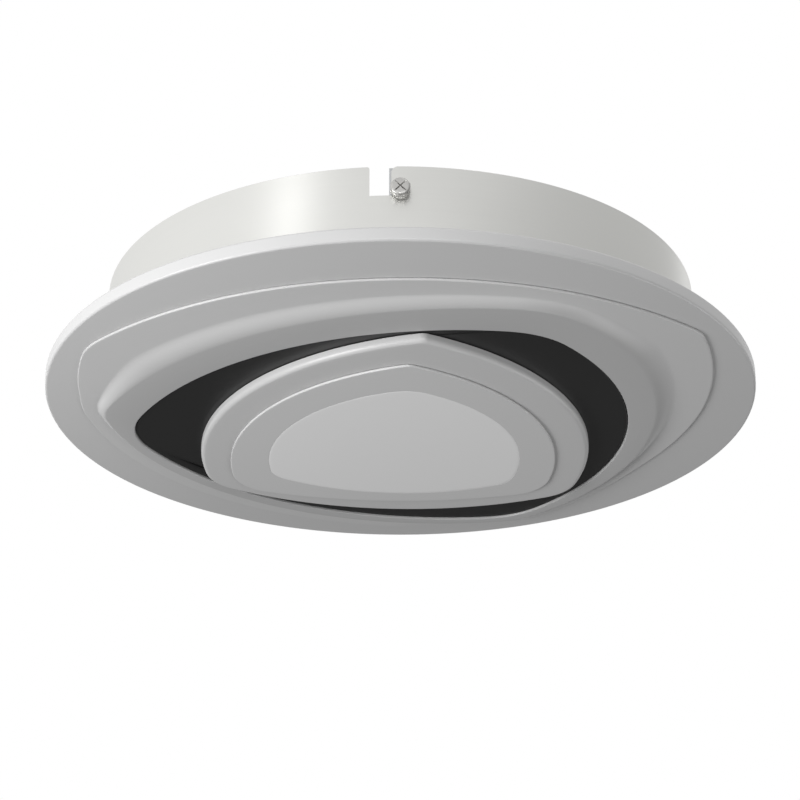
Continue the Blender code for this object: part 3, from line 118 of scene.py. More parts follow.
# Rounded triangles in shares of the disc's radius: three corners (x, y, radius) and the radius of
# the side after each corner, anticlockwise from below -Y.
STEP_OUTLINE = (((0.714, -0.412, 0.109), (-0.020, 0.698, 0.203), (-0.652, -0.274, 0.223)),
                (1.049, 0.998, 1.131))
CREST_OUTLINE = (((0.269, -0.368, 0.300), (0.329, 0.728, 0.074), (-0.695, 0.018, 0.139)),
                 (0.956, 0.978, 1.120))
PANEL_OUTLINE = (((0.253, -0.284, 0.252), (0.232, 0.536, 0.252), (-0.501, 0.132, 0.259)),
                 (0.872, 0.992, 0.982))
BODY_OUTLINE = (((0.058, -0.486, 0.035), (0.378, 0.435, 0.148), (-0.429, 0.377, 0.145)),
                (0.883, 0.957, 0.835))
PLATE_OUTLINE = (((0.020, -0.350, 0.032), (0.305, 0.394, 0.135), (-0.347, 0.364, 0.145)),
                 (0.738, 1.198, 0.723))
LENS_OUTLINE = (((0.013, -0.099, 0.123), (0.244, 0.366, 0.091), (-0.293, 0.327, 0.087)),
                (0.541, 0.636, 0.520))


# ---- settings
def metres(name, description, default, least):
    return FloatProperty(name=name, description=description, default=default, min=least, unit="LENGTH")


def paint(name, description, *default):
    return FloatVectorProperty(
        name=name, description=description, subtype="COLOR", size=3, default=default, min=0, max=1)


def positive(name, description, default):
    return FloatProperty(name=name, description=description, default=default, min=0)


def degrees(name, description, default):
    return FloatProperty(name=name, description=description, default=math.radians(default), subtype="ANGLE")


class LampSizes(bpy.types.PropertyGroup):
    rim_radius: metres("Disc rim", "Rounding of the acrylic disc's edges", 0.0015, 0.0002)
    step_drop: metres("First step", "Height of the relief's first step below the disc", 0.0015, 0.0002)
    wall_start: FloatProperty(
        name="Wall start", description="Share of the cove's run that is nearly flat before its wall",
        default=0.60, min=0.0, max=0.9)
    foot_width: metres("Foot width", "Least run of the cove", 0.011, 0.001)
    foot_blend: metres("Foot blend", "Softness where the cove's foot leaves the first step", 0.004, 0.0001)
    crest_radius: metres("Crest edge", "Rounding of the ring's lower edges", 0.0007, 0.0001)
    body_radius: metres("Body edge", "Rounding of the centre body's lower edge", 0.0028, 0.0005)
    plate_radius: metres("Plate edge", "Rounding of the thin plate's edge", 0.0006, 0.0001)
    sheet: metres("Canopy sheet", "Wall of the spun canopy", 0.001, 0.0004)
    columns: IntProperty(
        name="Columns", description="Steps round the large turned pieces", default=360, min=48)


class LampColours(bpy.types.PropertyGroup):
    canopy: paint("Canopy", "Satin metal of the canopy", 0.80, 0.80, 0.775)
    acrylic: paint("Acrylic", "Opal acrylic of the cover", 0.58, 0.58, 0.58)
    # the ring's copy of the opal acrylic, which painted shade darkens towards its crest
    ring: paint("Ring", "Thicker acrylic of the cove ring", 0.60, 0.60, 0.60)
    # the plate's copy of the opal acrylic, made lighter than the disc: painted light
    plate: paint("Plate", "Thin acrylic plate on the centre body", 0.63, 0.63, 0.63)
    lens: paint("Lens", "Lighter acrylic in the middle", 0.84, 0.84, 0.84)
    inlay: paint("Inlay", "Dark acrylic between ring and centre", 0.012, 0.012, 0.012)


class LampStudio(bpy.types.PropertyGroup):
    camera_distance: metres("Distance", "Camera to the middle of the disc's face", 1.6, 0.3)
    camera_below: degrees("Below", "Angle of the camera under the disc's face", 24.346)
    camera_pitch: degrees("Pitch", "Upward angle of the camera's axis", 24.44)
    camera_lens: FloatProperty(
        name="Lens", description="Focal length in millimetres on a 36 mm sensor", default=127.2, min=10)
    floor_height: metres("Floor", "Height of the pale floor", -4.0, -100.0)
    ambient: positive("Ambient", "Strength of the room's soft light from the sides and above", 0.75)
    ambient_below: positive("From below", "Strength of the room's soft light from below", 0.11)
    low_power: positive("Low light", "Power of the soft box below the lamp's left side, in watts", 14.0)
    key_power: positive("Key light", "Power of the tall light at the front left, in watts", 1.15)
    show_floor: BoolProperty(name="Floor shown", description="Adds the floor to the stage", default=True)


# ---- mesh helpers
def grid_faces(rows, columns, wrap_rows):
    """Quads between neighbouring rows and columns of a grid of points whose columns run round."""
    i = np.arange(rows if wrap_rows else rows - 1)[:, None]
    j = np.arange(columns)[None, :]
    low, high = i, (i + 1) % rows
    here, there = j, (j + 1) % columns
    corners = (low * columns + here, low * columns + there, high * columns + there, high * columns + here)
    return np.stack([np.broadcast_to(c, (len(i), j.shape[1])) for c in corners], -1).reshape(-1, 4)


def surface(name, grid, wrap_rows=False, capped=False):
    """Closed mesh from a grid of points whose columns run round; caps close the first and last row."""
    rows, columns, _ = grid.shape
    faces = grid_faces(rows, columns, wrap_rows).tolist()
    if capped:
        faces.append(list(range(columns))[::-1])
        faces.append(list(range((rows - 1) * columns, rows * columns)))
    mesh = bpy.data.meshes.new(name)
    mesh.from_pydata(grid.reshape(-1, 3).tolist(), [], faces)
    bm = bmesh.new()
    bm.from_mesh(mesh)
    bmesh.ops.remove_doubles(bm, verts=bm.verts, dist=MERGE)
    bmesh.ops.recalc_face_normals(bm, faces=bm.faces)
    bm.to_mesh(mesh)
    bm.free()
    return mesh


def add_object(name, mesh, place=None):
    """Object at the origin whose place is in its mesh."""
    if place is not None:
        mesh.transform(place)
    obj = bpy.data.objects.new(name, mesh)
    bpy.context.scene.collection.objects.link(obj)
    return obj


def apply_modifiers(obj):
    """Makes what the modifiers give into the object's own mesh."""
    made = bpy.data.meshes.new_from_object(obj.evaluated_get(bpy.context.evaluated_depsgraph_get()))
    obj.modifiers.clear()
    obj.data = made


def cut(obj, cutters):
    """Takes the cutters away from the object by Booleans, applied; the cutters are removed."""
    for cutter in cutters:
        modifier = obj.modifiers.new("cut", "BOOLEAN")
        modifier.operation = "DIFFERENCE"
        modifier.object = cutter
        modifier.solver = "EXACT"
    apply_modifiers(obj)
    for cutter in cutters:
        bpy.data.objects.remove(cutter)


def finish_piece(obj, body, node, slot, look=None):
    """Shades the piece, gives it its slot's finish or a look near it, and lets it stand for the CAD node."""
    mesh = obj.data
    mesh.shade_smooth()
    mesh.set_sharp_from_angle(angle=math.radians(SMOOTH_ANGLE))
    mesh.materials.clear()
    mesh.materials.append(finish(look or slot))
    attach(obj, body)
    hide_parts(node)


def piece(name, mesh, *standing):
    """New object that stands for a CAD node: its body, the node, its slot and at times a look."""
    finish_piece(add_object(name, mesh), *standing)


def rounded(points, radii, steps=6, closed=True):
    """Polygon whose corners are arcs tangent to both sides, of one radius or a radius each."""
    points = np.array(points, dtype=float)
    count = len(points)
    radii = np.broadcast_to(np.array(radii, dtype=float), count)
    made = []
    for i, (point, radius) in enumerate(zip(points, radii)):
        if radius <= 0 or (not closed and i in (0, count - 1)):
            made.append(point[None])
            continue
        to_before = points[i - 1] - point
        to_after = points[(i + 1) % count] - point
        to_before /= np.linalg.norm(to_before)
        to_after /= np.linalg.norm(to_after)
        half = math.acos(np.clip(to_before @ to_after, -1, 1)) / 2
        bisector = (to_before + to_after) / np.linalg.norm(to_before + to_after)
        centre = point + bisector * radius / math.sin(half)
        start = point + to_before * radius / math.tan(half) - centre
        end = point + to_after * radius / math.tan(half) - centre
        first = math.atan2(start[1], start[0])
        sweep = (math.atan2(end[1], end[0]) - first + math.pi) % math.tau - math.pi
        angles = first + sweep * np.linspace(0, 1, steps + 1)
        made.append(centre + radius * np.stack([np.cos(angles), np.sin(angles)], -1))
    return np.concatenate(made)


def revolved(rows, angles):
    """Grid of x = r cos a, y = r sin a and z, where a row's r and z may follow the angle."""
    return np.stack([np.stack([r * np.cos(angles), r * np.sin(angles), z + 0 * angles], -1) for r, z in rows])


def turned(name, profile, columns, centre=(0, 0), wrap=True):
    """Surface of revolution: x = r cos a, y = r sin a, z along the profile's (r, z) points."""
    angle = np.linspace(0, math.tau, columns, endpoint=False)
    r, z = profile[:, :1], profile[:, 1:]
    grid = np.stack([
        centre[0] + r * np.cos(angle), centre[1] + r * np.sin(angle), z + 0 * angle], -1)
    return surface(name, grid, wrap_rows=wrap)


def box_mesh(name, low, high, radius, steps=4):
    """Rounded box: each point of a small sphere, pushed into the box's corner of its octant."""
    low, high = np.array(low, dtype=float), np.array(high, dtype=float)
    centre, inner = (low + high) / 2, (high - low) / 2 - radius
    quarter = np.linspace(0, math.pi / 2, steps + 1)
    azimuth = np.concatenate([quarter + k * math.pi / 2 for k in range(4)])
    side_x = np.repeat([1, -1, -1, 1], steps + 1)
    side_y = np.repeat([1, 1, -1, -1], steps + 1)
    latitude = np.concatenate([-quarter[::-1], quarter])[:, None]
    side_z = np.repeat([-1, 1], steps + 1)[:, None]
    grid = np.stack([
        centre[0] + side_x * inner[0] + radius * np.cos(latitude) * np.cos(azimuth),
        centre[1] + side_y * inner[1] + radius * np.cos(latitude) * np.sin(azimuth),
        centre[2] + side_z * inner[2] + radius * np.sin(latitude) + 0 * azimuth], -1)
    return surface(name, grid, capped=True)


def prism(loop, low, high, place=None):
    """Straight-sided closed cutter over a flat loop."""
    flat = np.concatenate([loop, np.zeros((len(loop), 1))], 1)
    grid = np.stack([flat + (0, 0, low), flat + (0, 0, high)])
    return add_object("cutter", surface("cutter", grid, capped=True), place)


def circle(radius, steps=48):
    angle = np.linspace(0, math.tau, steps, endpoint=False)
    return radius * np.stack([np.cos(angle), np.sin(angle)], -1)


def smooth_route(points, steps):
    """Even points on a Catmull-Rom curve through the route's own points."""
    route = np.array(points, dtype=float)
    padded = np.vstack([2 * route[0] - route[1], route, 2 * route[-1] - route[-2]])
    share = np.linspace(0, len(route) - 1, 40 * len(route))
    span = np.minimum(share.astype(int), len(route) - 2)
    t = (share - span)[:, None]
    a, b, c, d = (padded[span + k] for k in range(4))
    dense = 0.5 * (2 * b + (c - a) * t + (2 * a - 5 * b + 4 * c - d) * t ** 2
                   + (3 * b - a - 3 * c + d) * t ** 3)
    travelled = np.concatenate([[0], np.cumsum(np.linalg.norm(np.diff(dense, axis=0), axis=1))])
    even = np.linspace(0, travelled[-1], steps)
    return np.stack([np.interp(even, travelled, dense[:, k]) for k in range(3)], axis=1)


def tube(name, route, radius, sides=14):
    """Circle carried along a route: point + radius (cos a n + sin a b), n turned least from step to step."""
    tangent = np.gradient(route, axis=0)
    tangent /= np.linalg.norm(tangent, axis=1, keepdims=True)
    normal = np.zeros_like(route)
    normal[0] = np.cross(tangent[0], (0, 0, 1.0) if abs(tangent[0][2]) < 0.9 else (1.0, 0, 0))
    for i in range(1, len(route)):
        normal[i] = normal[i - 1] - tangent[i] * (tangent[i] @ normal[i - 1])
    normal /= np.linalg.norm(normal, axis=1, keepdims=True)
    across = np.cross(tangent, normal)
    angle = np.linspace(0, math.tau, sides, endpoint=False)[None, :, None]
    grid = route[:, None] + radius * (np.cos(angle) * normal[:, None] + np.sin(angle) * across[:, None])
    return surface(name, grid, capped=True)


# ---- rounded triangles
def side_centre(corner, following, radius):
    """Centre of the arc that touches both corner circles from outside."""
    run = following[:2] - corner[:2]
    length = np.hypot(*run)
    reach_start, reach_end = radius - corner[2], radius - following[2]
    along = (reach_start ** 2 - reach_end ** 2 + length ** 2) / (2 * length)
    across = math.sqrt(reach_start ** 2 - along ** 2)
    direction = run / length
    return corner[:2] + direction * along + np.array([-direction[1], direction[0]]) * across


def sweep_between(start, end, steps):
    """Angles from start up to end, the end lifted by whole turns until it follows."""
    end = end + math.tau * math.ceil((start - end) / math.tau)
    return np.linspace(start, end, steps, endpoint=False)


def outline_loop(outline, inset=0.0, corner_steps=24, side_steps=64):
    """Loop of three corner arcs and three side arcs, tangent to each other, moved inwards."""
    corners = np.array(outline[0]) * DISC_RADIUS
    sides = np.array(outline[1]) * DISC_RADIUS
    centres = [side_centre(corners[i], corners[(i + 1) % 3], sides[i]) for i in range(3)]
    loop = []
    for i, corner in enumerate(corners):
        middle, following = corner[:2], corners[(i + 1) % 3][:2]
        before, after, far = middle - centres[i - 1], middle - centres[i], following - centres[i]
        start, turn_at, end = (math.atan2(v[1], v[0]) for v in (before, after, far))
        for centre, radius, angles in (
                (middle, corner[2] - inset, sweep_between(start, turn_at, corner_steps)),
                (centres[i], sides[i] - inset, sweep_between(turn_at, end, side_steps))):
            loop.append(centre + radius * np.stack([np.cos(angles), np.sin(angles)], -1))
    return np.concatenate(loop)


def outline_radii(outline, angles):
    """Distance of a rounded triangle from the lamp's axis at the given angles."""
    loop = outline_loop(outline, 0.0, 120, 240)
    direction = np.arctan2(loop[:, 1], loop[:, 0])
    order = np.argsort(direction)
    return np.interp(angles, direction[order], np.hypot(*loop[order].T), period=math.tau)


def carried(name, outline, profile, middle=None):
    """A profile of (inset, z) points carried round a rounded triangle.

    With a middle point the last row closes there, so the piece is a solid plate.
    """
    rows = [np.insert(outline_loop(outline, inset), 2, z, axis=1) for inset, z in profile]
    if middle is not None:
        centre = np.array(middle)
        rows.insert(0, np.broadcast_to([*centre, profile[0][1]], rows[0].shape))
        rows.append(np.broadcast_to([*centre, profile[-1][1]], rows[0].shape))
    return surface(name, np.stack(rows), wrap_rows=middle is None)


def between(name, outer, outer_profile, inner, inner_profile):
    """Plate with a hole: a profile carried round the outer triangle, another round the inner one."""
    rows = [np.insert(outline_loop(outer, inset), 2, z, axis=1) for inset, z in outer_profile]
    rows += [np.insert(outline_loop(inner, inset), 2, z, axis=1) for inset, z in inner_profile]
    return surface(name, np.stack(rows), wrap_rows=True)


# ---- shared effects
def new_group(name, inputs, outputs):
    group = bpy.data.node_groups.new(name, "ShaderNodeTree")
    for label, kind, default in inputs:
        socket = group.interface.new_socket(label, in_out="INPUT", socket_type=kind)
        socket.default_value = default
    for label, kind in outputs:
        group.interface.new_socket(label, in_out="OUTPUT", socket_type=kind)
    return group, group.nodes.new("NodeGroupInput"), group.nodes.new("NodeGroupOutput")


def node(tree, kind, **inputs):
    made = tree.nodes.new(kind)
    for label, value in inputs.items():
        socket = made.inputs[label.replace("_", " ")]
        if isinstance(value, bpy.types.NodeSocket):
            tree.links.new(value, socket)
        else:
            socket.default_value = value
    return made


def math_node(tree, operation, *values):
    made = tree.nodes.new("ShaderNodeMath")
    made.operation = operation
    for socket, value in zip(made.inputs, values):
        if isinstance(value, bpy.types.NodeSocket):
            tree.links.new(value, socket)
        else:
            socket.default_value = value
    return made.outputs[0]


def scaled(tree, colour, factor):
    made = tree.nodes.new("ShaderNodeVectorMath")
    made.operation = "SCALE"
    tree.links.new(colour, made.inputs[0])
    tree.links.new(factor, made.inputs["Scale"])
    return made.outputs[0]


def object_place(tree):
    return tree.nodes.new("ShaderNodeTexCoord").outputs["Object"]


FLOAT, COLOUR = "NodeSocketFloat", "NodeSocketColor"


def tone_and_finish(tree, source, result, noise):
    """Colour, roughness and height that follow one noise value inside a group."""
    swing = math_node(tree, "MULTIPLY_ADD", noise, 2.0, -1.0)
    factor = math_node(tree, "MULTIPLY_ADD", swing, source.outputs["Tone"], 1.0)
    rough = math_node(tree, "MULTIPLY_ADD", swing, source.outputs["Spread"], source.outputs["Roughness"])
    tree.links.new(scaled(tree, source.outputs["Colour"], factor), result.inputs["Colour"])
    tree.links.new(rough, result.inputs["Roughness"])
    tree.links.new(noise, result.inputs["Height"])


FINISH_INPUTS = (("Colour", COLOUR, (0.5, 0.5, 0.5, 1)), ("Tone", FLOAT, 0.03), ("Roughness", FLOAT, 0.4),
                 ("Spread", FLOAT, 0.04), ("Scale", FLOAT, 400.0))
FINISH_OUTPUTS = (("Colour", COLOUR), ("Roughness", FLOAT), ("Height", FLOAT))
SPIN_STRETCH = 0.004        # metres of noise for a whole turn's sine
ROLL_STRETCH = 0.02         # share of the noise's frequency left along the bar
WIDE_GRAIN = 0.06           # frequency of the wide noise as a share of the fine one's


def grain_group():
    """Even moulded or blasted grain: two noises of different size, averaged."""
    tree, source, result = new_group("fine grain", FINISH_INPUTS, FINISH_OUTPUTS)
    where = object_place(tree)
    fine = node(tree, "ShaderNodeTexNoise", Vector=where, Scale=source.outputs["Scale"], Detail=3.0)
    wide_scale = math_node(tree, "MULTIPLY", source.outputs["Scale"], WIDE_GRAIN)
    wide = node(tree, "ShaderNodeTexNoise", Vector=where, Scale=wide_scale, Detail=2.0)
    both = math_node(tree, "ADD", fine.outputs["Fac"], wide.outputs["Fac"])
    tone_and_finish(tree, source, result, math_node(tree, "MULTIPLY", both, 0.5))
    return tree


def painted_depth_shade_group():
    """Painted shade: colour times a share that falls from 1 to Least as the height goes from From down to To.
    """
    tree, source, result = new_group(
        "thickness tone",
        (("Colour", COLOUR, (0.5, 0.5, 0.5, 1)), ("From", FLOAT, 0.0), ("To", FLOAT, -0.01),
         ("Least", FLOAT, 0.8)),
        (("Colour", COLOUR),))
    axes = node(tree, "ShaderNodeSeparateXYZ", Vector=object_place(tree))
    share = tree.nodes.new("ShaderNodeMapRange")
    share.interpolation_type = "SMOOTHSTEP"
    tree.links.new(axes.outputs["Z"], share.inputs["Value"])
    tree.links.new(source.outputs["From"], share.inputs["From Min"])
    tree.links.new(source.outputs["To"], share.inputs["From Max"])
    share.inputs["To Min"].default_value = 1.0
    tree.links.new(source.outputs["Least"], share.inputs["To Max"])
    shaded_colour = scaled(tree, source.outputs["Colour"], share.outputs["Result"])
    tree.links.new(shaded_colour, result.inputs["Colour"])
    return tree


def spun_group():
    """Lines left by spinning: noise stretched along the angle round the lamp's axis."""
    tree, source, result = new_group("spun lines", FINISH_INPUTS, FINISH_OUTPUTS)
    axes = node(tree, "ShaderNodeSeparateXYZ", Vector=object_place(tree))
    x, y, z = (axes.outputs[k] for k in range(3))
    angle = math_node(tree, "ARCTAN2", y, x)
    squares = [math_node(tree, "MULTIPLY", value, value) for value in (x, y)]
    radius = math_node(tree, "SQRT", math_node(tree, "ADD", *squares))
    lines = node(
        tree, "ShaderNodeCombineXYZ",
        X=math_node(tree, "MULTIPLY", math_node(tree, "COSINE", angle), SPIN_STRETCH),
        Y=math_node(tree, "MULTIPLY", math_node(tree, "SINE", angle), SPIN_STRETCH),
        Z=math_node(tree, "ADD", z, radius))
    noise = node(
        tree, "ShaderNodeTexNoise", Vector=lines.outputs[0], Scale=source.outputs["Scale"], Detail=4.0)
    tone_and_finish(tree, source, result, noise.outputs["Fac"])
    return tree


def rolled_group():
    """Lines left by rolling and drawing: noise stretched along the lamp's Y axis."""
    tree, source, result = new_group("rolled lines", FINISH_INPUTS, FINISH_OUTPUTS)
    where = object_place(tree)
    stretched = node(tree, "ShaderNodeMapping", Vector=where, Scale=(1.0, ROLL_STRETCH, 1.0))
    noise = node(
        tree, "ShaderNodeTexNoise", Vector=stretched.outputs[0], Scale=source.outputs["Scale"], Detail=4.0)
    tone_and_finish(tree, source, result, noise.outputs["Fac"])
    return tree


# ---- finishes
# slot: (colour, metallic, roughness, tone, spread, scale, bump height in mm)
FINISHES = {
    "satin_metal": (None, 1.0, 0.36, 0.010, 0.030, 900.0, 0.004),
    "zinc_steel": ((0.60, 0.61, 0.62), 1.0, 0.34, 0.05, 0.06, 1400.0, 0.006),
    "nickel_screw": ((0.56, 0.555, 0.54), 1.0, 0.48, 0.03, 0.04, 900.0, 0.001),
    "white_sheet": ((0.83, 0.83, 0.82), 0.0, 0.42, 0.02, 0.05, 700.0, 0.010),
    "opal_acrylic": (None, 0.0, 0.38, 0.006, 0.02, 1200.0, 0.003),
    # the ring's look: painted shade by depth is laid on its colour in finish()
    "deep_acrylic": (None, 0.0, 0.38, 0.006, 0.02, 1200.0, 0.003),
    # the plate's look: a lighter copy of the opal acrylic, painted light
    "thin_acrylic": (None, 0.0, 0.38, 0.006, 0.02, 1200.0, 0.003),
    "opal_lens": (None, 0.0, 0.34, 0.006, 0.02, 1200.0, 0.003),
    "black_acrylic": (None, 0.0, 0.42, 0.05, 0.03, 1200.0, 0.004),
    "foam": ((0.06, 0.06, 0.062), 0.0, 0.92, 0.35, 0.05, 1500.0, 0.12),
    "board_white": ((0.86, 0.86, 0.84), 0.0, 0.40, 0.02, 0.04, 500.0, 0.006),
    "board_green": ((0.03, 0.20, 0.08), 0.0, 0.35, 0.15, 0.05, 900.0, 0.010),
    "case_white": ((0.77, 0.77, 0.75), 0.0, 0.50, 0.02, 0.05, 1300.0, 0.030),
    "terminal_white": ((0.80, 0.80, 0.78), 0.0, 0.42, 0.02, 0.04, 1300.0, 0.015),
    "button_orange": ((0.83, 0.27, 0.04), 0.0, 0.40, 0.03, 0.04, 1300.0, 0.012),
    "spring_steel": ((0.66, 0.66, 0.67), 1.0, 0.25, 0.04, 0.05, 900.0, 0.004),
    "ferrite": ((0.045, 0.045, 0.05), 0.0, 0.60, 0.20, 0.06, 900.0, 0.030),
    "capacitor_sleeve": ((0.03, 0.04, 0.10), 0.0, 0.32, 0.05, 0.04, 700.0, 0.008),
    "film_yellow": ((0.75, 0.55, 0.08), 0.0, 0.35, 0.04, 0.05, 600.0, 0.012),
    "rubber_grey": ((0.17, 0.17, 0.17), 0.0, 0.78, 0.08, 0.06, 1200.0, 0.020),
    "lead_brown": ((0.15, 0.055, 0.02), 0.0, 0.45, 0.05, 0.05, 900.0, 0.008),
    "lead_blue": ((0.03, 0.12, 0.45), 0.0, 0.45, 0.05, 0.05, 900.0, 0.008),
    "lead_green": ((0.08, 0.42, 0.05), 0.0, 0.45, 0.05, 0.05, 900.0, 0.008),
    "lead_red": ((0.50, 0.03, 0.03), 0.0, 0.45, 0.05, 0.05, 900.0, 0.008),
    "lead_black": ((0.02, 0.02, 0.02), 0.0, 0.45, 0.08, 0.05, 900.0, 0.008),
}
SET_BY_USER = {
    "satin_metal": "canopy", "opal_acrylic": "acrylic", "deep_acrylic": "ring", "thin_acrylic": "plate",
    "opal_lens": "lens", "black_acrylic": "inlay"}
# painted shade by depth for a look: (height where it starts, height where it is full, share of the colour
# left)
PAINTED_DEPTH_SHADE = {"deep_acrylic": (DISC_LOW.z - 0.0015, RING_LOW.z, 0.80)}
EFFECTS = {"fine grain": grain_group, "spun lines": spun_group, "rolled lines": rolled_group}
NOT_GRAIN = {"satin_metal": "spun lines", "zinc_steel": "rolled lines"}
BUMP_STRENGTH = 0.6


def finish(slot):
    """Material of a slot: one shared effect drives its colour, roughness and bump.

    The ring's colour also falls off with depth: painted shade that darkens the cove ring towards its crest.
    """
    label = slot + "_finish"
    if label in bpy.data.materials:
        return bpy.data.materials[label]
    effect = NOT_GRAIN.get(slot, "fine grain")
    colour, metallic, roughness, tone, spread, scale, bump_height = FINISHES[slot]
    if colour is None:
        colour = tuple(getattr(bpy.context.scene.lamp_colours, SET_BY_USER[slot]))
    group = bpy.data.node_groups.get(effect) or EFFECTS[effect]()
    material = bpy.data.materials.new(label)
    material.use_nodes = True
    tree = material.node_tree
    shader = tree.nodes["Principled BSDF"]
    effect_node = tree.nodes.new("ShaderNodeGroup")
    effect_node.node_tree = group
    values = ((*colour, 1.0), tone, roughness, spread, scale)
    for socket_name, value in zip(("Colour", "Tone", "Roughness", "Spread", "Scale"), values):
        effect_node.inputs[socket_name].default_value = value
    bump = node(tree, "ShaderNodeBump", Height=effect_node.outputs["Height"],
                Distance=bump_height / 1000, Strength=BUMP_STRENGTH)
    tint = effect_node.outputs["Colour"]
    # painted shade: the colour darkens with depth
    if slot in PAINTED_DEPTH_SHADE:
        high, low, least = PAINTED_DEPTH_SHADE[slot]
        shade_node = tree.nodes.new("ShaderNodeGroup")
        shade_node.node_tree = bpy.data.node_groups.get("thickness tone") or painted_depth_shade_group()
        for name, value in (("From", high), ("To", low), ("Least", least)):
            shade_node.inputs[name].default_value = value
        tree.links.new(tint, shade_node.inputs["Colour"])
        tint = shade_node.outputs["Colour"]
    tree.links.new(tint, shader.inputs["Base Color"])
    tree.links.new(effect_node.outputs["Roughness"], shader.inputs["Roughness"])
    tree.links.new(bump.outputs["Normal"], shader.inputs["Normal"])
    shader.inputs["Metallic"].default_value = metallic
    return material


# ---- light cover
class LAMP_OT_cover(bpy.types.Operator):
    """Acrylic disc with its rounded rim"""
    bl_idname = "lamp.cover"
    bl_label = "Acrylic disc"

    def execute(self, context):
        sizes = context.scene.lamp_sizes
        top, face = DISC_HIGH.z, DISC_LOW.z
        profile = rounded(
            [(0, face + DISC_SKIN), (PAN_POCKET, face + DISC_SKIN), (PAN_POCKET, top), (DISC_RADIUS, top),
             (DISC_RADIUS, face), (0, face)],
            [0, POCKET_EDGE, POCKET_EDGE, sizes.rim_radius, sizes.rim_radius, 0], 8, closed=False)
        mesh = turned("acrylic_disc", profile, sizes.columns, wrap=False)
        piece("acrylic_disc", mesh, "lamp", "outer_diffuser", "opal_acrylic")
        return {"FINISHED"}


class LAMP_OT_contour(bpy.types.Operator):
    """Ring that falls from the disc's face in a cove to its crest"""
    bl_idname = "lamp.contour"
    bl_label = "Contour ring"

    def execute(self, context):
        """Radius runs evenly from foot to crest with s; the height falls a little with s, and most of the way
        as t^2 (3 - 2 t), where t is s past the wall's start, so the wall has a hollow foot and a round crest.
        """
        sizes = context.scene.lamp_sizes
        angles = np.linspace(-math.pi, math.pi, 2 * sizes.columns, endpoint=False)
        crest = outline_radii(CREST_OUTLINE, angles)
        inner = outline_radii(PANEL_OUTLINE, angles)
        step = outline_radii(STEP_OUTLINE, angles)
        least = crest + sizes.foot_width
        foot = (step + least + np.sqrt((step - least) ** 2 + sizes.foot_blend ** 2)) / 2
        top, face = RING_HIGH.z, RING_LOW.z
        step_z = DISC_LOW.z - sizes.step_drop
        edge = sizes.crest_radius
        quarter = np.linspace(0, math.pi / 2, ARC_ROWS)
        rows = [(foot, top)]
        rows += [(foot - edge * (1 - math.cos(a)), step_z + edge * (1 - math.sin(a))) for a in quarter[:-1]]
        start = foot - edge
        for share in np.linspace(0, 1, COVE_ROWS):
            t = max(0.0, (share - sizes.wall_start) / (1 - sizes.wall_start))
            fall = FLAT_FALL * share + (1 - FLAT_FALL) * t * t * (3 - 2 * t)
            rows.append((start + (crest - start) * share, step_z + (face - step_z) * fall))
        rows.append((crest - edge, face))
        rows += [(inner + edge * (1 - math.sin(a)), face + edge * (1 - math.cos(a))) for a in quarter]
        rows.append((inner, top))
        mesh = surface("cove_ring", revolved(rows, angles), wrap_rows=True)
        # the ring's look carries painted shade that darkens it with depth
        piece("cove_ring", mesh, "lamp", "contour_ring", "opal_acrylic", "deep_acrylic")
        return {"FINISHED"}


class LAMP_OT_centre(bpy.types.Operator):
    """Dark inlay, thick centre body, thin step plate and flush lens"""
    bl_idname = "lamp.centre"
    bl_label = "Inlay and centre"

    def execute(self, context):
        sizes = context.scene.lamp_sizes
        low, high = PANEL_LOW.z, PANEL_HIGH.z
        inlay = between(
            "dark_inlay",
            PANEL_OUTLINE, [(PANEL_PLAY, high), (PANEL_PLAY, low + FINE_EDGE), (PANEL_PLAY + FINE_EDGE, low)],
            BODY_OUTLINE, [(PANEL_LIP, low), (PANEL_LIP, high)])
        piece("dark_inlay", inlay, "lamp", "black_panel", "black_acrylic")

        low, high, edge = BODY_LOW.z, PANEL_LOW.z - GAP, sizes.body_radius
        neck = PANEL_LIP + PANEL_PLAY
        profile = rounded(
            [(neck, BODY_HIGH.z), (neck, high), (0, high), (0, low), (edge * 2, low)],
            [0, 0, FINE_EDGE, edge, 0], 12, closed=False)
        body = carried("centre_body", BODY_OUTLINE, profile.tolist(), BODY_MIDDLE)
        piece("centre_body", body, "lamp", "centre_diffuser", "opal_acrylic")

        low, high, edge = PLATE_LOW.z, PLATE_HIGH.z, sizes.plate_radius
        outer = rounded([(edge * 2, high), (0, high), (0, low), (edge * 2, low)], [0, 0, edge, 0], 6, False)
        hole = rounded([(-edge, low), (0, low), (0, high), (-edge, high)], [0, SEAM, 0, 0], 3, False)
        plate = between("step_plate", PLATE_OUTLINE, outer.tolist(), LENS_OUTLINE, hole.tolist())
        # the plate's look is a lighter copy of the opal acrylic: painted light
        piece("step_plate", plate, "lamp", "centre_step_plate", "opal_acrylic", "thin_acrylic")

        profile = rounded(
            [(edge, high), (SEAM, high), (SEAM, low), (edge * 3, low)], [0, 0, SEAM, 0], 3, False)
        lens = carried("flush_lens", LENS_OUTLINE, profile.tolist(), LENS_MIDDLE)
        piece("flush_lens", lens, "lamp", "centre_lens", "opal_lens")
        return {"FINISHED"}


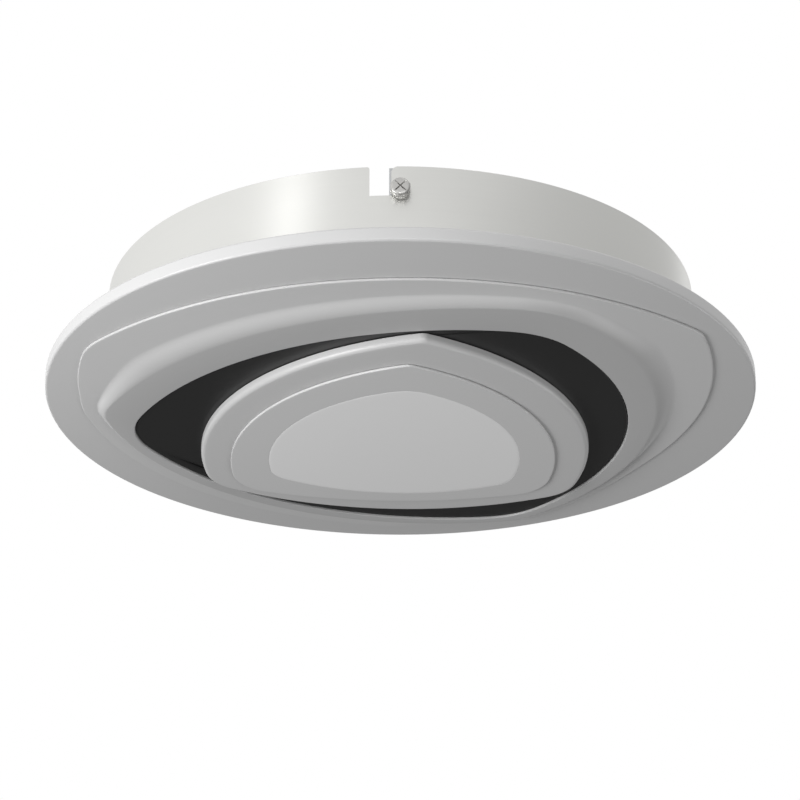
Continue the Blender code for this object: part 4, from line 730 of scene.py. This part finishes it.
# ---- canopy and pan
def notch_loop():
    """Bayonet slot as seen from outside, its blind end at the clamp screw."""
    left, right = -NOTCH["shift"] - NOTCH["width"] / 2, -NOTCH["shift"] + NOTCH["width"] / 2
    top, slot, above = CANOPY_HIGH.z, SHANK + RUN, CANOPY_HIGH.z + 0.001
    small, large = NOTCH["small"], NOTCH["large"]
    quarter = np.linspace(0, math.pi / 2, 9)
    ahead = np.linspace(-math.pi / 2, math.pi / 2, 25)
    left_corner = np.stack([
        left - small + small * np.sin(quarter), top - small + small * np.cos(quarter)], -1)
    blind_end = np.stack([slot * np.cos(ahead), AXIS_Z + slot * np.sin(ahead)], -1)
    right_corner = np.stack([
        right + large - large * np.cos(quarter), top - large + large * np.sin(quarter)], -1)
    return np.concatenate([
        [(left - small, above)], left_corner,
        [(left, top - NOTCH["depth"]), (right, top - NOTCH["depth"]), (right, AXIS_Z - slot)],
        blind_end, [(right, AXIS_Z + slot)], right_corner, [(right + large, above)]])


def facing(turned_by, distance, height=0.0):
    """Turns a shape made in XY, looking along +Z, to stand outside the canopy on one side."""
    return (Matrix.Rotation(turned_by, 4, "Z") @ Matrix.Translation((0, -distance, height))
            @ Matrix.Rotation(math.pi / 2, 4, "X"))


class LAMP_OT_canopy(bpy.types.Operator):
    """Spun canopy with its two bayonet notches, and the foam strip under its foot"""
    bl_idname = "lamp.canopy"
    bl_label = "Canopy"

    def execute(self, context):
        sizes = context.scene.lamp_sizes
        outer, top, foot, wall = CANOPY_HIGH.x, CANOPY_HIGH.z, CANOPY_LOW.z, sizes.sheet
        inner, flange = outer - wall, outer - wall - FLANGE_WIDTH
        profile = rounded(
            [(outer, top), (outer, foot), (flange, foot), (flange, foot + wall), (inner, foot + wall),
             (inner, top)],
            [0.0002, 0.002, 0.0002, 0.0002, 0.001, 0.0002], 8)
        mesh = turned("spun_canopy", profile, sizes.columns)
        canopy = add_object("spun_canopy", mesh)
        cutters = [prism(notch_loop(), -WALL_CUT, WALL_CUT, facing(angle, outer)) for _, angle in TO_SIDES]
        cutters += screw_holes(foot - GAP, foot + wall + GAP)
        cut(canopy, cutters)
        finish_piece(canopy, "lamp", "canopy_shell", "satin_metal")

        outer, inner = GASKET_HIGH.x, GASKET_HIGH.x - GASKET_WIDTH
        low, high = GASKET_LOW.z, GASKET_HIGH.z
        profile = rounded([(outer, high), (outer, low), (inner, low), (inner, high)], FINE_EDGE, 4)
        gasket = add_object("foam_strip", turned("foam_strip", profile, sizes.columns))
        cut(gasket, screw_holes(low - GAP, high + GAP))
        finish_piece(gasket, "lamp", "light_gasket", "foam")
        return {"FINISHED"}


def round_hole(node_name, radius, low, high):
    """Cutter for a round hole on the middle of a CAD node."""
    middle = sum(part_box(node_name), Vector()) / 2
    return prism(circle(radius) + np.array(middle[:2]), low, high)


def screw_holes(low, high):
    return [round_hole(name, DISC_HOLE, low, high) for name in DISC_SCREWS]


class LAMP_OT_pan(bpy.types.Operator):
    """Pressed sheet pan with sloping sides, and its screws"""
    bl_idname = "lamp.pan"
    bl_label = "Pan and screws"

    def execute(self, context):
        """Both faces of the sheet are one (r, z) profile, turned: x = r cos a, y = r sin a."""
        sizes = context.scene.lamp_sizes
        top, foot, flange = PAN_HIGH.z, PAN_LOW.z + SHEET, PAN_HIGH.x
        upper = rounded([(0, top), (PAN_DECK, top), (PAN_SKIRT, foot), (flange, foot)], PAN_BENDS, 8, False)
        lower = rounded(
            [(flange, foot - SHEET), (PAN_SKIRT - SKIRT_SHIFT, foot - SHEET),
             (PAN_DECK - SKIRT_SHIFT, top - SHEET), (0, top - SHEET)],
            PAN_BENDS, 8, False)
        mesh = turned("pressed_pan", np.concatenate([upper, lower]), sizes.columns, wrap=False)
        pan = add_object("pressed_pan", mesh)
        through = top - SHEET - GAP, top + GAP
        holes = screw_holes(foot - SHEET - GAP, foot + GAP)
        holes += [round_hole(name, PAN_HOLE, *through) for name in DECK_SCREWS]
        holes.append(round_hole("lead_grommet", GROMMET_HOLE, *through))
        cut(pan, holes)
        finish_piece(pan, "lamp", "led_pan", "white_sheet")
        for name in DISC_SCREWS + DECK_SCREWS:
            pan_screw(name)
        return {"FINISHED"}


def cross_cutters(length, width, depth, top, angles, where=Matrix.Identity(4)):
    """Tapered blades that cut a cross recess below the given height."""
    cutters = []
    for angle in angles:
        shares = np.array([(1.0, 1.0), (0.35, 0.6)])
        heights = (top + depth / 4, top - depth)
        corners = np.array([(1, 1), (-1, 1), (-1, -1), (1, -1)])
        grid = np.stack([
            np.insert(corners * (length / 2 * a, width / 2 * b), 2, z, axis=1)
            for (a, b), z in zip(shares, heights)])
        turn_by = where @ Matrix.Rotation(angle, 4, "Z")
        cutters.append(add_object("cutter", surface("cutter", grid, capped=True), turn_by))
    return cutters


def pan_screw(node_name):
    """Pan-head screw: head, shank with a ridged thread and a blunt tip, turned, then a cross cut in."""
    low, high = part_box(node_name)
    centre, head = (low + high) / 2, (high.x - low.x) / 2
    head_height = 0.0022
    shank = head * 0.5147
    seat = high.z - head_height
    head_part = rounded(
        [(0, high.z), (head * 0.75, high.z), (head, seat + head_height * 0.35), (head, seat), (shank, seat)],
        [0, head * 0.35, 0.0003, 0.0001, 0], 6, closed=False)
    z = np.linspace(seat - 0.0002, low.z + shank, 60)
    thread = np.stack([shank * (THREAD_MEAN + THREAD_SWING * np.cos((seat - z) / 0.0006 * math.tau)), z], -1)
    tip = np.array([(shank * 0.33, low.z), (0, low.z)])
    mesh = turned(node_name, np.concatenate([head_part, thread, tip]), 32, centre[:2], wrap=False)
    name = node_name + "_fine"
    screw = add_object(name, mesh)
    where = Matrix.Translation((centre.x, centre.y, 0))
    cut(screw, cross_cutters(head * 1.1, head * 0.25, 0.0012, high.z, (0, math.pi / 2), where))
    finish_piece(screw, "lamp", node_name, "zinc_steel")


# ---- ceiling bar and clamps
class LAMP_OT_bar(bpy.types.Operator):
    """Ceiling bar with turned-down ends, and its weld nuts"""
    bl_idname = "lamp.bar"
    bl_label = "Ceiling bar"

    def execute(self, context):
        """Rounded rectangular section, its width w(s), carried along the bar's bent middle line."""
        end, foot, half, neck = BAR_HIGH.y, BAR_LOW.z, BAR_SHEET / 2, BAR_HIGH.y - BAR_NECK
        middle = rounded(
            [(-end + half, foot), (-end + half, -half), (end - half, -half), (end - half, foot)],
            [0, BAR_BEND + half, BAR_BEND + half, 0], 12, closed=False)
        stops = np.array([-neck, -neck + BAR_TAPER, 0.0, neck - BAR_TAPER, neck])
        stations = np.concatenate([middle[:14], [(y, -half) for y in stops], middle[14:]])
        tangent = np.gradient(stations, axis=0)
        tangent /= np.linalg.norm(tangent, axis=1, keepdims=True)
        width = np.interp(np.abs(stations[:, 0]), [neck - BAR_TAPER, neck], [BAR_HIGH.x, BAR_NARROW])
        quarter = np.linspace(0, math.pi / 2, 5)
        around = np.concatenate([quarter + k * math.pi / 2 for k in range(4)])
        side_x, side_n = np.repeat([1, -1, -1, 1], 5), np.repeat([1, 1, -1, -1], 5)
        x = side_x * (width[:, None] - BAR_EDGE) + BAR_EDGE * np.cos(around)
        n = side_n * (half - BAR_EDGE) + BAR_EDGE * np.sin(around)
        grid = np.stack([x, stations[:, :1] - tangent[:, 1:] * n, stations[:, 1:] + tangent[:, :1] * n], -1)
        bar = add_object("ceiling_bar", surface("ceiling_bar", grid, capped=True))
        slot = rounded(
            [(SLOT_HALF, SLOT_START), (SLOT_HALF, SLOT_END),
             (-SLOT_HALF, SLOT_END), (-SLOT_HALF, SLOT_START)],
            SLOT_ROUND, 10)
        cutters = [prism(slot * (1, sign), -BAR_SHEET - GAP, GAP) for sign in (-1, 1)]
        for _, angle in TO_SIDES:
            cutters.append(prism(circle(SHANK + RUN), -WALL_CUT, WALL_CUT, facing(angle, end, AXIS_Z)))
        cut(bar, cutters)
        finish_piece(bar, "ceiling_bracket", "mounting_bar", "zinc_steel")

        for side, angle in TO_SIDES:
            low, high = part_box(f"weld_nut_{side}")
            inner_face = min(abs(low.y), abs(high.y))
            depth = high.y - low.y
            six = np.arange(6) * math.pi / 3
            corners = (high.x - low.x) / 2 * np.stack([np.cos(six), np.sin(six)], -1)
            hexagon = rounded(corners, FINE_EDGE, 4)
            bore = circle(SHANK + RUN, len(hexagon))
            chamfer = 0.92
            rows = [(hexagon * chamfer, 0), (hexagon, FINE_EDGE), (hexagon, depth - FINE_EDGE),
                    (hexagon * chamfer, depth), (bore, depth), (bore, 0)]
            grid = np.stack([np.insert(loop, 2, z, axis=1) for loop, z in rows])
            mesh = surface("nut", grid, wrap_rows=True)
            nut = add_object(f"hexagon_nut_{side}", mesh, facing(angle, inner_face, AXIS_Z))
            finish_piece(nut, "ceiling_bracket", f"weld_nut_{side}", "zinc_steel")
        return {"FINISHED"}


class LAMP_OT_clamps(bpy.types.Operator):
    """Washer and eight-sided screw on each side of the canopy"""
    bl_idname = "lamp.clamps"
    bl_label = "Clamp screws"

    def execute(self, context):
        """Head's radius r(a) = apothem / cos(a - a of the nearest flat's middle), with a round dome on it."""
        for side, angle in TO_SIDES:
            washer_low, washer_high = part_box(f"clamp_washer_{side}")
            low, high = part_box(f"clamp_screw_{side}")
            seat = min(abs(washer_low.y), abs(washer_high.y))
            thick = washer_high.y - washer_low.y
            edge, bore = washer_high.x, SHANK + RUN
            profile = rounded([(edge, 0), (edge, thick), (bore, thick), (bore, 0)], 0.0002, 4)
            washer = add_object(
                f"washer_{side}", turned("washer", profile, 96), facing(angle, seat, AXIS_Z))
            finish_piece(washer, f"clamp_{side}", f"clamp_washer_{side}", "nickel_screw")

            tip = min(abs(low.y), abs(high.y)) - seat
            top = max(abs(low.y), abs(high.y)) - seat
            under = thick + GAP
            around = np.linspace(0, math.tau, 96, endpoint=False)
            eighth = math.pi / 4
            off_flat = (around + eighth / 2) % eighth - eighth / 2
            apothem = high.x
            octagon = apothem / np.cos(off_flat)
            disc = apothem
            rows = [(0.0, tip), (SHANK * 0.7, tip), (SHANK, tip + 0.0005)]
            for z in np.linspace(tip + 0.0006, under - 0.0004, 70):
                ridge = THREAD_MEAN + THREAD_SWING * math.cos(z / 0.0007 * math.tau)
                rows.append((SHANK * ridge, z))
            rows += [(SHANK * THREAD_MEAN, under), (disc * 0.96, under), (octagon * 0.985, under + 0.0003)]
            rows += [(octagon, under + 0.0007), (octagon, top - 0.0018), (octagon * 0.985, top - 0.0015)]
            rows += [(disc * 0.97, top - 0.0014), (disc * 0.94, top - 0.0017), (disc * 0.98, top - 0.0013)]
            for share in np.linspace(0, math.pi / 2, 13)[:-1]:
                rows.append((disc * 0.98 * math.cos(share) ** 0.22, top - 0.0013 * (1 - math.sin(share))))
            rows.append((0.0, top))
            name = f"screw_{side}"
            screw = add_object(name, surface(name, revolved(rows, around)))
            cut(screw, cross_cutters(0.0100, 0.0008, 0.0015, top, (eighth, -eighth)))
            screw.data.transform(facing(angle, seat, AXIS_Z))
            finish_piece(screw, f"clamp_{side}_screw", f"clamp_screw_{side}", "nickel_screw")
        return {"FINISHED"}


# ---- driver, terminal block and leads
def softened(node_name, body, slot, width):
    """Copy of a plain CAD block with its doubles merged and its edges rounded."""
    mesh = frame["nodes"][node_name].data.copy()
    bm = bmesh.new()
    bm.from_mesh(mesh)
    bmesh.ops.remove_doubles(bm, verts=bm.verts, dist=MERGE)
    bmesh.ops.dissolve_limit(bm, angle_limit=math.radians(1), verts=bm.verts, edges=bm.edges)
    bm.to_mesh(mesh)
    bm.free()
    obj = add_object(node_name + "_soft", mesh)
    bevel = obj.modifiers.new("round", "BEVEL")
    bevel.width = width
    bevel.segments = 3
    bevel.limit_method = "ANGLE"
    bevel.angle_limit = math.radians(40)
    apply_modifiers(obj)
    finish_piece(obj, body, node_name, slot)


class LAMP_OT_blocks(bpy.types.Operator):
    """Driver case, terminal block, buttons, grommet and earth lug"""
    bl_idname = "lamp.blocks"
    bl_label = "Driver and terminals"

    def execute(self, context):
        softened("driver_case_base", "lamp", "case_white", 0.0004)
        softened("driver_case_lid", "lamp", "case_white", 0.0004)
        softened("terminal_housing", "lamp", "terminal_white", 0.00025)
        softened("earth_lug", "lamp", "zinc_steel", 0.00015)
        for pole in ("live", "earth", "neutral"):
            name = f"terminal_button_{pole}"
            low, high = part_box(name)
            middle, length = (low + high) / 2, high.y - low.y
            button = add_object(name + "_fine", box_mesh(name, low, high, 0.0005))
            groove = prism(
                rounded([(-0.01, -0.0004), (0.01, -0.0004), (0.01, 0.0004), (-0.01, 0.0004)], 0),
                high.z - 0.0005, high.z + 0.001, Matrix.Translation((middle.x, middle.y + length * 0.22, 0)))
            cut(button, [groove])
            finish_piece(button, f"button_{pole}", name, "button_orange")

        low, high = GROMMET_LOW, GROMMET_HIGH
        middle, flange, bore = (low + high) / 2, (high.x - low.x) / 2, 0.0030
        groove_low, groove_high = PAN_HIGH.z - SHEET - GAP, PAN_HIGH.z + GAP
        neck = bore + 0.0012
        profile = rounded(
            [(flange, high.z), (flange, groove_high), (neck, groove_high), (neck, groove_low),
             (flange, groove_low), (flange, low.z), (bore, low.z), (bore, high.z)], FINE_EDGE, 4)
        mesh = turned("wire_grommet", profile, 64, middle[:2])
        piece("wire_grommet", mesh, "lamp", "lead_grommet", "rubber_grey")
        return {"FINISHED"}


class LAMP_OT_leads(bpy.types.Operator):
    """Mains, earth and LED leads between terminals, driver and boards"""
    bl_idname = "lamp.leads"
    bl_label = "Leads"

    def execute(self, context):
        """Each lead is a circle carried along a smooth curve through its route's points."""
        front, rear = -0.056, 0.056
        mouth, land = -0.0113, -0.0303
        last = [(0, -0.012), (0, -0.006), (0, 0), (0, 0.0048)]
        routes = {
            "mains_lead_neutral": ([
                (-0.030, mouth, WIRE_Z), (-0.030, mouth - 0.006, WIRE_Z),
                (-0.026, mouth - 0.022, WIRE_Z - 0.001),
                (-0.010, mouth - 0.042, WIRE_Z - 0.002), (0.012, front - 0.018, WIRE_Z - 0.001),
                (0.032, front - 0.020, PORT_Z - 0.002), *[(0.037 + x, front + y, PORT_Z) for x, y in last]],
                MAINS_LEAD, "lead_blue"),
            "mains_lead_live": ([
                (-0.050, mouth, WIRE_Z), (-0.050, mouth - 0.006, WIRE_Z),
                (-0.053, mouth - 0.024, WIRE_Z - 0.001),
                (-0.048, mouth - 0.046, WIRE_Z - 0.002), (-0.024, front - 0.018, WIRE_Z - 0.002),
                (0.012, front - 0.027, WIRE_Z - 0.001), (0.041, front - 0.025, PORT_Z - 0.002),
                *[(0.047 + x, front + y, PORT_Z) for x, y in last]],
                MAINS_LEAD, "lead_brown"),
        }
        tail, lug_z = -0.045 + 0.0091 + 0.0006, DECK + 0.0014
        routes["earth_lead"] = ([
            (-0.040, mouth, WIRE_Z), (-0.040, mouth - 0.006, WIRE_Z),
            (-0.038, (mouth + tail) / 2 - 0.003, (WIRE_Z + lug_z) / 2), (-0.040, tail + 0.003, lug_z),
            (-0.040, tail, lug_z)], MAINS_LEAD, "lead_green")
        under = PAN_HIGH.z - SHEET
        for pole, side, port_x, slot in (
                ("negative", -1, 0.036, "lead_black"), ("positive", 1, 0.041, "lead_red")):
            apart, end_x = side * 0.0012, 0.013 - 0.003 * side
            routes[f"led_lead_{pole}"] = ([
                (port_x, rear - 0.0048, PORT_Z), (port_x, rear, PORT_Z), (port_x, rear + 0.006, PORT_Z),
                (port_x - 0.008, 0.070 + 0.006 * side, PORT_Z), (0.014, 0.072 + 0.003 * side, PORT_Z),
                (0.001, 0.070 + apart, PAN_HIGH.z + 0.006), (0, 0.070 + apart, PAN_HIGH.z + 0.002),
                (0, 0.070 + apart, under - 0.003), (0.003 - 0.003 * side, 0.074 + apart, land - 0.0025),
                (end_x, 0.1027, land - 0.0005), (end_x + 0.006, 0.1157, land)], LED_LEAD, slot)
        for name, (points, radius, slot) in routes.items():
            mesh = tube(name, smooth_route(points, LEAD_POINTS), radius)
            piece(name + "_fine", mesh, "lamp", name, slot)
        return {"FINISHED"}


# ---- CAD nodes that stay, and the stage
class LAMP_OT_insides(bpy.types.Operator):
    """Finishes for the boards and driver parts that keep their CAD shape"""
    bl_idname = "lamp.insides"
    bl_label = "Boards and driver parts"

    def execute(self, context):
        slots = {part["node"]: part["material_slot"] for part in frame["record"]["subparts"]}
        for name, obj in frame["nodes"].items():
            if not obj.hide_render:
                obj.data.materials.clear()
                obj.data.materials.append(finish(slots[name]))
        return {"FINISHED"}


CAMERA_ROLL = math.radians(0.009)
LIGHT_AIM = Vector((0, 0, -0.03))
RIGHT_LOSS = 0.30           # share of the room's light missing on the right
FLOOR_HALF = 12.0
FLOOR_COLOUR, FLOOR_ROUGHNESS = (0.82, 0.82, 0.81, 1), 0.7


class LAMP_OT_stage(bpy.types.Operator):
    """Camera under the lamp, soft light, pale floor and a white room"""
    bl_idname = "lamp.stage"
    bl_label = "Stage"

    def execute(self, context):
        studio = context.scene.lamp_studio
        scene = context.scene
        target = Vector((0, 0, DISC_LOW.z))
        below = studio.camera_below
        camera = bpy.data.objects.new("camera", bpy.data.cameras.new("camera"))
        camera.data.lens = studio.camera_lens
        camera.data.sensor_width = 36
        camera.data.clip_start = 0.01
        camera.location = target - studio.camera_distance * Vector((0, math.cos(below), math.sin(below)))
        camera.rotation_euler = (math.pi / 2 + studio.camera_pitch, 0, CAMERA_ROLL)
        scene.collection.objects.link(camera)
        scene.camera = camera

        low, key = studio.low_power, studio.key_power
        for name, size, power, location in (
                ("key", (0.25, 1.0), key, (-1.20, -1.40, 0.80)),
                ("top", (0.4, 0.4), key * 1.6, (0.60, -0.70, 1.50)),
                ("low", (0.6, 0.6), low, (-1.00, -0.585, -0.62)),
                ("back", (0.5, 1.0), key * 0.5, (0.95, 1.30, 0.70)),
                ("front", (1.0, 0.5), low * 0.6, (0.10, -1.70, -0.35)),
                ("fill", (0.8, 0.8), low * 0.35, (1.05, 0.45, -0.75))):
            data = bpy.data.lights.new(name, "AREA")
            data.shape, data.size, data.size_y = "RECTANGLE", *size
            data.energy = power
            light = bpy.data.objects.new(name, data)
            light.location = location
            light.rotation_euler = (LIGHT_AIM - Vector(location)).to_track_quat("-Z", "Y").to_euler()
            scene.collection.objects.link(light)

        world = bpy.data.worlds.new("room")
        scene.world = world
        world.use_nodes = True
        tree = world.node_tree
        background = tree.nodes["Background"]
        path = tree.nodes.new("ShaderNodeLightPath")
        where = tree.nodes.new("ShaderNodeTexCoord").outputs["Generated"]
        axes = node(tree, "ShaderNodeSeparateXYZ", Vector=where)
        above = math_node(
            tree, "MULTIPLY_ADD", axes.outputs["X"], -RIGHT_LOSS * studio.ambient, studio.ambient)
        rise = math_node(tree, "MULTIPLY_ADD", axes.outputs["Z"], 2.5, 0.5)
        rise.node.use_clamp = True
        extra = math_node(tree, "MULTIPLY", math_node(tree, "SUBTRACT", above, studio.ambient_below), rise)
        slope = math_node(tree, "ADD", extra, studio.ambient_below)
        seen = path.outputs["Is Camera Ray"]
        left_out = math_node(tree, "SUBTRACT", 1.0, seen)
        strength = math_node(tree, "ADD", math_node(tree, "MULTIPLY", left_out, slope), seen)
        background.inputs["Color"].default_value = (1, 1, 1, 1)
        tree.links.new(strength, background.inputs["Strength"])

        if studio.show_floor:
            mesh = bpy.data.meshes.new("floor")
            corners = ((-1, -1), (1, -1), (1, 1), (-1, 1))
            points = [(x * FLOOR_HALF, y * FLOOR_HALF, studio.floor_height) for x, y in corners]
            mesh.from_pydata(points, [], [(0, 1, 2, 3)])
            floor = add_object("floor", mesh)
            material = bpy.data.materials.new("pale floor")
            material.use_nodes = True
            shader = material.node_tree.nodes["Principled BSDF"]
            shader.inputs["Base Color"].default_value = FLOOR_COLOUR
            shader.inputs["Roughness"].default_value = FLOOR_ROUGHNESS
            mesh.materials.append(material)
            floor.visible_diffuse = False
            floor.visible_glossy = False
        scene.view_settings.view_transform = "Standard"
        return {"FINISHED"}


class LAMP_PT_panel(bpy.types.Panel):
    """Sizes, colours and the operators that make each group of pieces"""
    bl_label = "Ceiling lamp"
    bl_idname = "LAMP_PT_panel"
    bl_space_type = "VIEW_3D"
    bl_region_type = "UI"
    bl_category = "Lamp"

    def draw(self, context):
        for settings in (context.scene.lamp_sizes, context.scene.lamp_colours, context.scene.lamp_studio):
            for name in type(settings).__annotations__:
                self.layout.prop(settings, name)
        for operator in OPERATORS:
            self.layout.operator(operator.bl_idname)


OPERATORS = (
    LAMP_OT_cover, LAMP_OT_contour, LAMP_OT_centre, LAMP_OT_canopy, LAMP_OT_pan, LAMP_OT_bar, LAMP_OT_clamps,
    LAMP_OT_blocks, LAMP_OT_leads, LAMP_OT_insides, LAMP_OT_stage)
SETTINGS = {"lamp_sizes": LampSizes, "lamp_colours": LampColours, "lamp_studio": LampStudio}


def register():
    for cls in (*SETTINGS.values(), *OPERATORS, LAMP_PT_panel):
        bpy.utils.register_class(cls)
    for name, cls in SETTINGS.items():
        setattr(bpy.types.Scene, name, PointerProperty(type=cls))


def unregister():
    for name in SETTINGS:
        delattr(bpy.types.Scene, name)
    for cls in (LAMP_PT_panel, *reversed(OPERATORS), *SETTINGS.values()):
        bpy.utils.unregister_class(cls)


def main():
    register()
    for operator in OPERATORS:
        group, name = operator.bl_idname.split(".")
        getattr(getattr(bpy.ops, group), name)()


if __name__ == "__main__":
    main()
